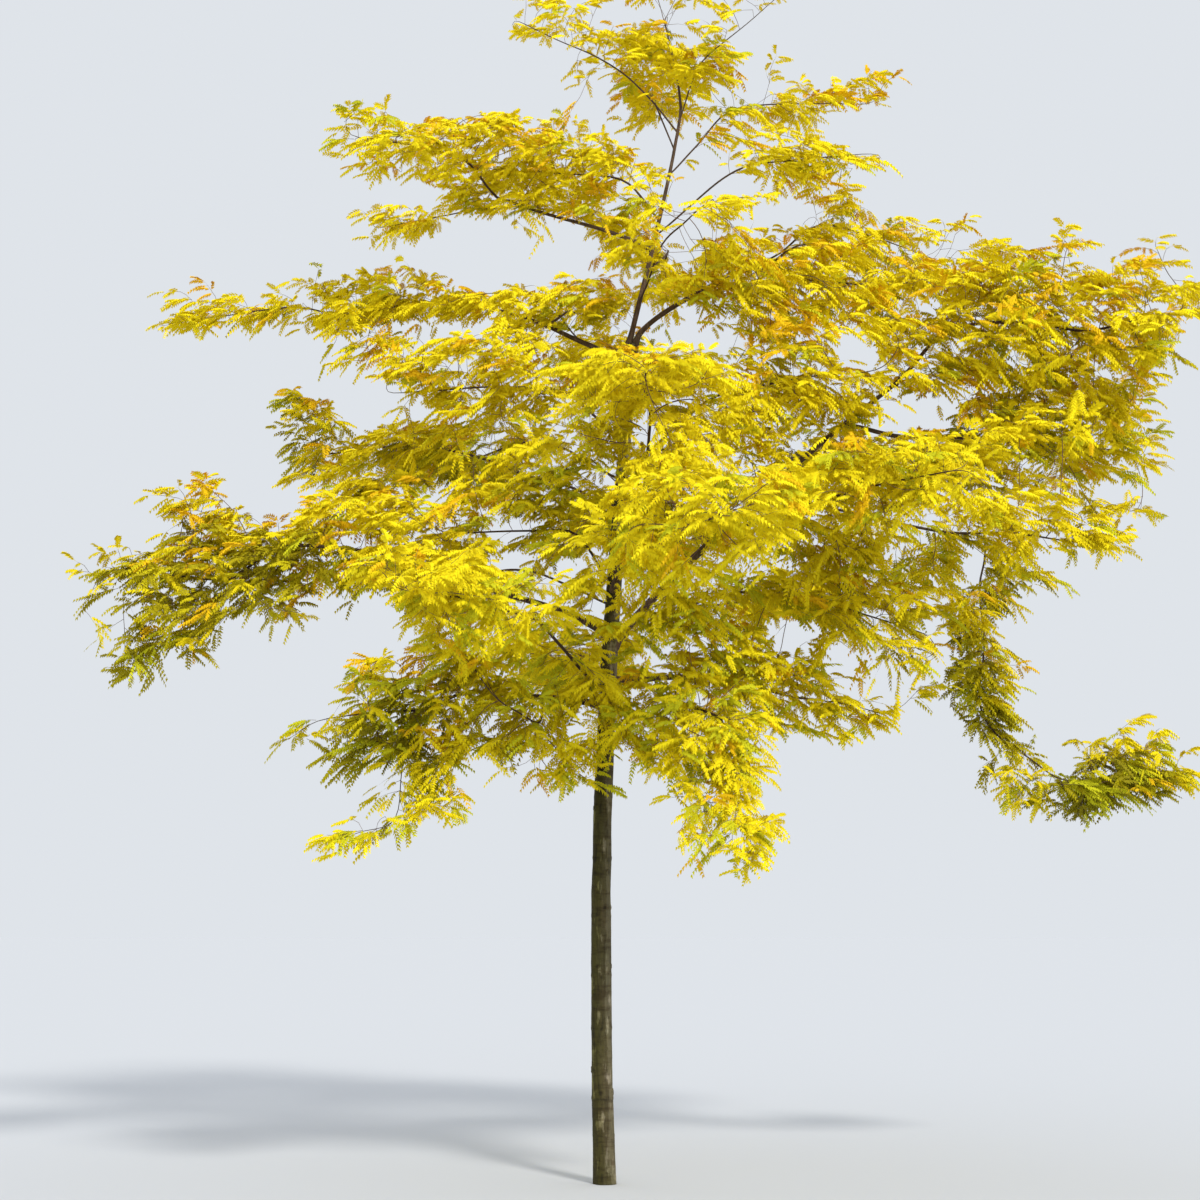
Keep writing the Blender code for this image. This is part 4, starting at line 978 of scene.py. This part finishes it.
# chains of twigs: each goes on along its thickest child
limb_parts, twig_parts = Parts(), Parts()
is_cad = np.array([k not in ("lead", "twig") for k in kind])
starts = []
for i in range(n_nodes):
    if is_cad[i]:
        starts += [(i, c) for c in children[i] if not is_cad[c] and leafy[c]]
end_radius = {ids[-1]: limbs[name][1][-1] for name, ids in limb_ids.items()}
chains = 0
while starts:
    root, first = starts.pop()
    chain = [root, first]
    while any(leafy[c] for c in children[chain[-1]]):
        kids = sorted((c for c in children[chain[-1]] if leafy[c]), key=lambda c: -radius[c])
        starts += [(chain[-1], c) for c in kids[1:]]
        chain.append(kids[0])
    chain = np.array(chain)
    points = positions[chain].copy()
    for _pass in range(2):
        if len(points) > 2:
            points[1:-1] = points[1:-1] * 0.5 + (points[:-2] + points[2:]) * 0.25
    r = radius[chain].copy()
    r[0] = r[1]
    if root in end_radius:                     # carry the bough's own taper on
        s = np.arange(len(r)) * STEP
        r = np.maximum(r, end_radius[root] * np.exp(-s / 0.55))
    r = np.maximum.accumulate(r[::-1])[::-1]
    r = np.minimum(r, 0.0165)
    thick = r[0] > 0.0042
    sides = 8 if r[0] > 0.008 else 6 if thick else 4 if r[0] > 0.0022 else 3
    (limb_parts if thick else twig_parts).tube(points, r, sides)
    chains += 1

print("chains", chains, "limb tris", sum(len(t) for t in limb_parts.tris), "twig tris", sum(len(t) for t in twig_parts.tris))


def leaves_mesh(which):
    """Vertices and triangles of pinnate leaves, each on its arching stalk."""
    b, d, side = leaf_base[which], leaf_dir[which], leaf_side[which]
    length, droop, f = leaf_length[which], leaf_droop[which], fold[which]
    number = len(which)
    t = 0.15 + 0.82 * np.arange(PAIRS) / (PAIRS - 1)
    t = np.repeat(t, 2)[None, :] + np.tile((0.0, 0.035), PAIRS)[None, :]
    t = np.minimum(t + rng.normal(0, 0.006, (number, 2 * PAIRS)), 1.0)
    hand = np.tile((1.0, -1.0), PAIRS)[None, :, None]
    sag = droop[:, None] * t
    run = length[:, None] / np.sqrt(1 + droop[:, None] ** 2 / 5)
    origin = (b[:, None] + run[..., None] * (d[:, None] * t[..., None] - UP * (sag * t / 2)[..., None]))
    tangent = unit(d[:, None] - UP * sag[..., None])
    s = unit(side[:, None] - tangent * (side[:, None] * tangent).sum(-1, keepdims=True))
    up = np.cross(s, tangent)
    up = up * np.sign((up[:, :1] * UP).sum(-1, keepdims=True) + 1e-6)
    size = np.sin(pi * (0.17 + 0.68 * t)) ** 0.55 * rng.uniform(0.88, 1.12, t.shape)
    size = size * (0.82 + 0.18 * length / LEAF_LENGTH)[:, None]
    angle = np.radians(62 - 26 * t + rng.normal(0, 5, t.shape))[..., None]
    f = (f[:, None] + np.radians(rng.normal(0, 6, t.shape)))[..., None]
    ca, sa = np.cos(angle), np.sin(angle)
    cf, sf = np.cos(f), np.sin(f)
    leaflet = tangent * ca + s * hand * sa * cf - up * sa * sf
    wide = tangent * sa - s * hand * ca * cf + up * ca * sf
    ll = (LEAFLET_LENGTH * size)[..., None]
    lw = (LEAFLET_WIDTH * size ** 0.6)[..., None]
    v0 = origin + leaflet * ll * 0.06 - wide * lw * 0.5
    v1 = origin + leaflet * ll * 0.14 + wide * lw * 0.5
    v2 = origin + leaflet * ll - up * ll * 0.12
    blades = np.stack([v0, v1, v2], 2).reshape(-1, 3)
    tris = np.arange(number * 2 * PAIRS)[:, None] * 3 + (0, 1, 2)
    # the stalk: a thin strip to the last pair
    st = np.array((0.0, 0.5, 0.97))
    line = (b[:, None] + run[..., None] * (d[:, None] * st[None, :, None]
            - UP * (droop[:, None] * st[None] ** 2 / 2)[..., None]))
    w = np.array((0.0011, 0.0008))
    left = line[:, :2] + side[:, None] * w[None, :, None]
    right = line[:, :2] - side[:, None] * w[None, :, None]
    stalk = np.concatenate([left, right, line[:, 2:]], 1).reshape(-1, 3)   # l0 l1 r0 r1 tip
    s0 = np.arange(number)[:, None] * 5
    stalk_tris = np.concatenate([s0 + (0, 2, 1), s0 + (1, 2, 3), s0 + (1, 3, 4)])
    return np.concatenate([blades, stalk]), np.concatenate([tris, stalk_tris + len(blades)])


# Colours, dealt out by spray: copies of one gold, lighter as painted light where sun reaches the spray and darker down
# to olive as painted shade in the shade of the crown;
# orange gold on young tips; yellow green low in the crown and, as painted shade, where the tone is dark.
COLOURS = {
    "lemon_gold": (0.880, 0.735, 0.012),
    "bright_gold": (0.830, 0.675, 0.010),
    "gold": (0.765, 0.622, 0.010),
    "orange_gold": (0.830, 0.530, 0.010),
    "old_gold": (0.580, 0.500, 0.010),
    "yellow_green": (0.600, 0.585, 0.018),
    "olive_gold": (0.430, 0.362, 0.010),
    "olive": (0.290, 0.248, 0.011),
}
# painted light and painted shade: the tone rises with the sun that reaches each spray, with a random spread and a
# little more on tips
tint_and_painted_light = sun + rng.normal(0, 0.15, n) + np.where(at_tip, 0.06, -0.06)


def near(x, z, wide, high):
    """1 in a part of the crown, as seen from the front, and 0 away from it."""
    return np.exp(-(((base[:, 0] - x) / wide) ** 2) - ((base[:, 2] - z) / high) ** 2)


# painted light and painted shade by place: lighter at the top, in the low middle and on parts of the right and upper
# left, darker at the low right; on the left tier, painted light on its top and painted shade underneath
tint_and_painted_light = tint_and_painted_light + 0.30 * np.clip((base[:, 2] - 5.4) / 1.0, 0, 1) + 0.60 * near(0.6, 3.1, 1.2, 1.0) * (base[:, 1] < 0.5)
left = near(-2.6, 3.8, 1.3, 0.9)
tint_and_painted_light = tint_and_painted_light + left * (-0.50 + 1.3 * np.clip(base[:, 2] - 3.95, -0.30, 0.35))
tint_and_painted_light = tint_and_painted_light - 1.05 * near(3.1, 2.7, 1.0, 0.9) + 0.35 * near(2.9, 4.8, 0.8, 0.7)
tint_and_painted_light = tint_and_painted_light + 0.8 * near(2.75, 2.5, 0.22, 0.20) + 0.8 * near(3.55, 2.85, 0.35, 0.16) + 0.2 * near(2.5, 3.2, 0.25, 0.3)
tint_and_painted_light = tint_and_painted_light + 0.20 * near(0.0, 7.2, 2.2, 1.3) + 0.38 * near(0.2, 3.4, 1.4, 0.8) + 0.12 * near(0.2, 4.9, 1.2, 0.9)
tint_and_painted_light = tint_and_painted_light + 0.30 * near(-0.9, 6.6, 1.2, 0.6)
tint_and_painted_light = np.where(left > 0.3, np.maximum(tint_and_painted_light, 0.03), tint_and_painted_light)
lowness = np.clip((4.6 - base[:, 2]) / 2.4, 0, 1)
centre = np.exp(-(((base[:, 0] - 0.3) / 1.0) ** 2))
colour = np.full(n, "gold", dtype=object)
colour[tint_and_painted_light > 0.52] = "bright_gold"
colour[tint_and_painted_light > 0.88] = "lemon_gold"
colour[tint_and_painted_light < 0.34] = "old_gold"
colour[tint_and_painted_light < 0.16] = "olive_gold"
colour[tint_and_painted_light < 0.02] = "olive"
greener = rng.random(n) < (0.04 + 0.10 * lowness + 0.16 * lowness * centre + 0.10 * (tint_and_painted_light < 0.3)) * (1 - 0.7 * left)
colour[greener] = "yellow_green"
young = at_tip & (rng.random(n) < 0.10 + 0.16 * (base[:, 2] > 5.0) + 0.22 * left) & ~greener
colour[young] = "orange_gold"

MOST = 190000 // (2 * PAIRS + 3)
for name, tint in COLOURS.items():
    which = np.flatnonzero((colour[spray] == name) & keep)
    material = plain("leaf_" + name, tint, 0.70, 0.04)
    for part, lo in enumerate(range(0, len(which), MOST)):
        verts, tris = leaves_mesh(which[lo:lo + MOST])
        make_piece(f"leaves_{name}_{part + 1}", verts, tris, material, MASSES)
        print("leaves", name, part + 1, len(tris))

# the shoots that carry the leaves
on = np.flatnonzero(kept_on >= 2)
t = np.array((0.0, 0.5, 1.0))[None, :] * np.clip(reach_of[on] + 0.02, 0.2, 1.0)[:, None]
line = base[on, None] + shoot_length[on, None, None] * (direction[on, None] * t[..., None]
       - UP * (shoot_droop[on, None] * t**2 / 2)[..., None])
u = unit(np.cross(direction[on], normal[on]))
v = np.cross(direction[on], u)
a = 2 * pi * np.arange(3) / 3
ring = u[:, None] * np.cos(a)[None, :, None] + v[:, None] * np.sin(a)[None, :, None]
thick = np.array((0.0017, 0.0012))
verts = line[:, :2, None] + ring[:, None] * thick[None, :, None, None]
verts = np.concatenate([verts.reshape(len(on), 6, 3), line[:, 2:]], 1).reshape(-1, 3)
one = np.concatenate([tube_faces(2, 3, 0), [(3, 4, 6), (4, 5, 6), (5, 3, 6)]])
tris = (np.arange(len(on))[:, None, None] * 7 + one[None]).reshape(-1, 3)
twig_parts.add(verts, tris)

limb_material = plain("limb", (0.078, 0.050, 0.033), 0.85, 0.2)
twig_material = plain("twig", (0.150, 0.085, 0.055), 0.75, 0.3)
make_piece("inner_limbs", np.concatenate(limb_parts.verts), np.concatenate(limb_parts.tris),
           limb_material, MASSES, True)
twig_verts, twig_tris = np.concatenate(twig_parts.verts), np.concatenate(twig_parts.tris)
for part, lo in enumerate(range(0, len(twig_tris), 190000)):
    some = twig_tris[lo:lo + 190000]
    used, inverse = np.unique(some, return_inverse=True)
    make_piece(f"twigs_{part + 1}", twig_verts[used], inverse.reshape(-1, 3), twig_material,
               MASSES, True)
print("twig tris", len(twig_tris), "limb tris", sum(len(t) for t in limb_parts.tris))

# ------------------------------------------------------------------- stage
mesh = bpy.data.meshes.new("floor")
mesh.from_pydata([(-240, -240, 0), (240, -240, 0), (240, 240, 0), (-240, 240, 0)], [], [(0, 1, 2, 3)])
floor = bpy.data.objects.new("floor", mesh)
floor.data.materials.append(plain("pale_floor", (0.600, 0.617, 0.643), 1.0, 0.0))
bpy.context.scene.collection.objects.link(floor)
floor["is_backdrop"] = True

world = bpy.data.worlds.new("studio")
world.use_nodes = True
world.node_tree.nodes["Background"].inputs["Color"].default_value = (0.84, 0.88, 0.93, 1)
world.node_tree.nodes["Background"].inputs["Strength"].default_value = 0.88
bpy.context.scene.world = world

key = bpy.data.lights.new("key", "SUN")
key.energy = 2.25
key.angle = radians(9)
key.color = (1.0, 0.97, 0.91)
key_object = bpy.data.objects.new("key", key)
key_object.rotation_euler = Vector(SUN).to_track_quat("Z", "Y").to_euler()
bpy.context.scene.collection.objects.link(key_object)
for number, turn_round in enumerate((255, 15, 135)):
    fill = bpy.data.lights.new(f"fill_{number}", "SUN")
    fill.energy = 0.34
    fill.angle = radians(70)
    fill_object = bpy.data.objects.new(f"fill_{number}", fill)
    fill_object.rotation_euler = Vector(heading(turn_round) + UP * 0.25).to_track_quat("Z", "Y").to_euler()
    bpy.context.scene.collection.objects.link(fill_object)

camera = bpy.data.cameras.new("camera")
camera.lens = LENS
camera.sensor_width = 36
camera.clip_end = 500
camera_object = bpy.data.objects.new("camera", camera)
camera_object.location = EYE
camera_object.rotation_euler = (radians(90 + PITCH), 0, 0)
bpy.context.scene.collection.objects.link(camera_object)
bpy.context.scene.camera = camera_object
bpy.context.scene.view_settings.view_transform = "Standard"

low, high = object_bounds()
print("cad", [round(x, 3) for x in (*cad_low, *cad_high)])
print("visual", [round(x, 3) for x in (*low, *high)])
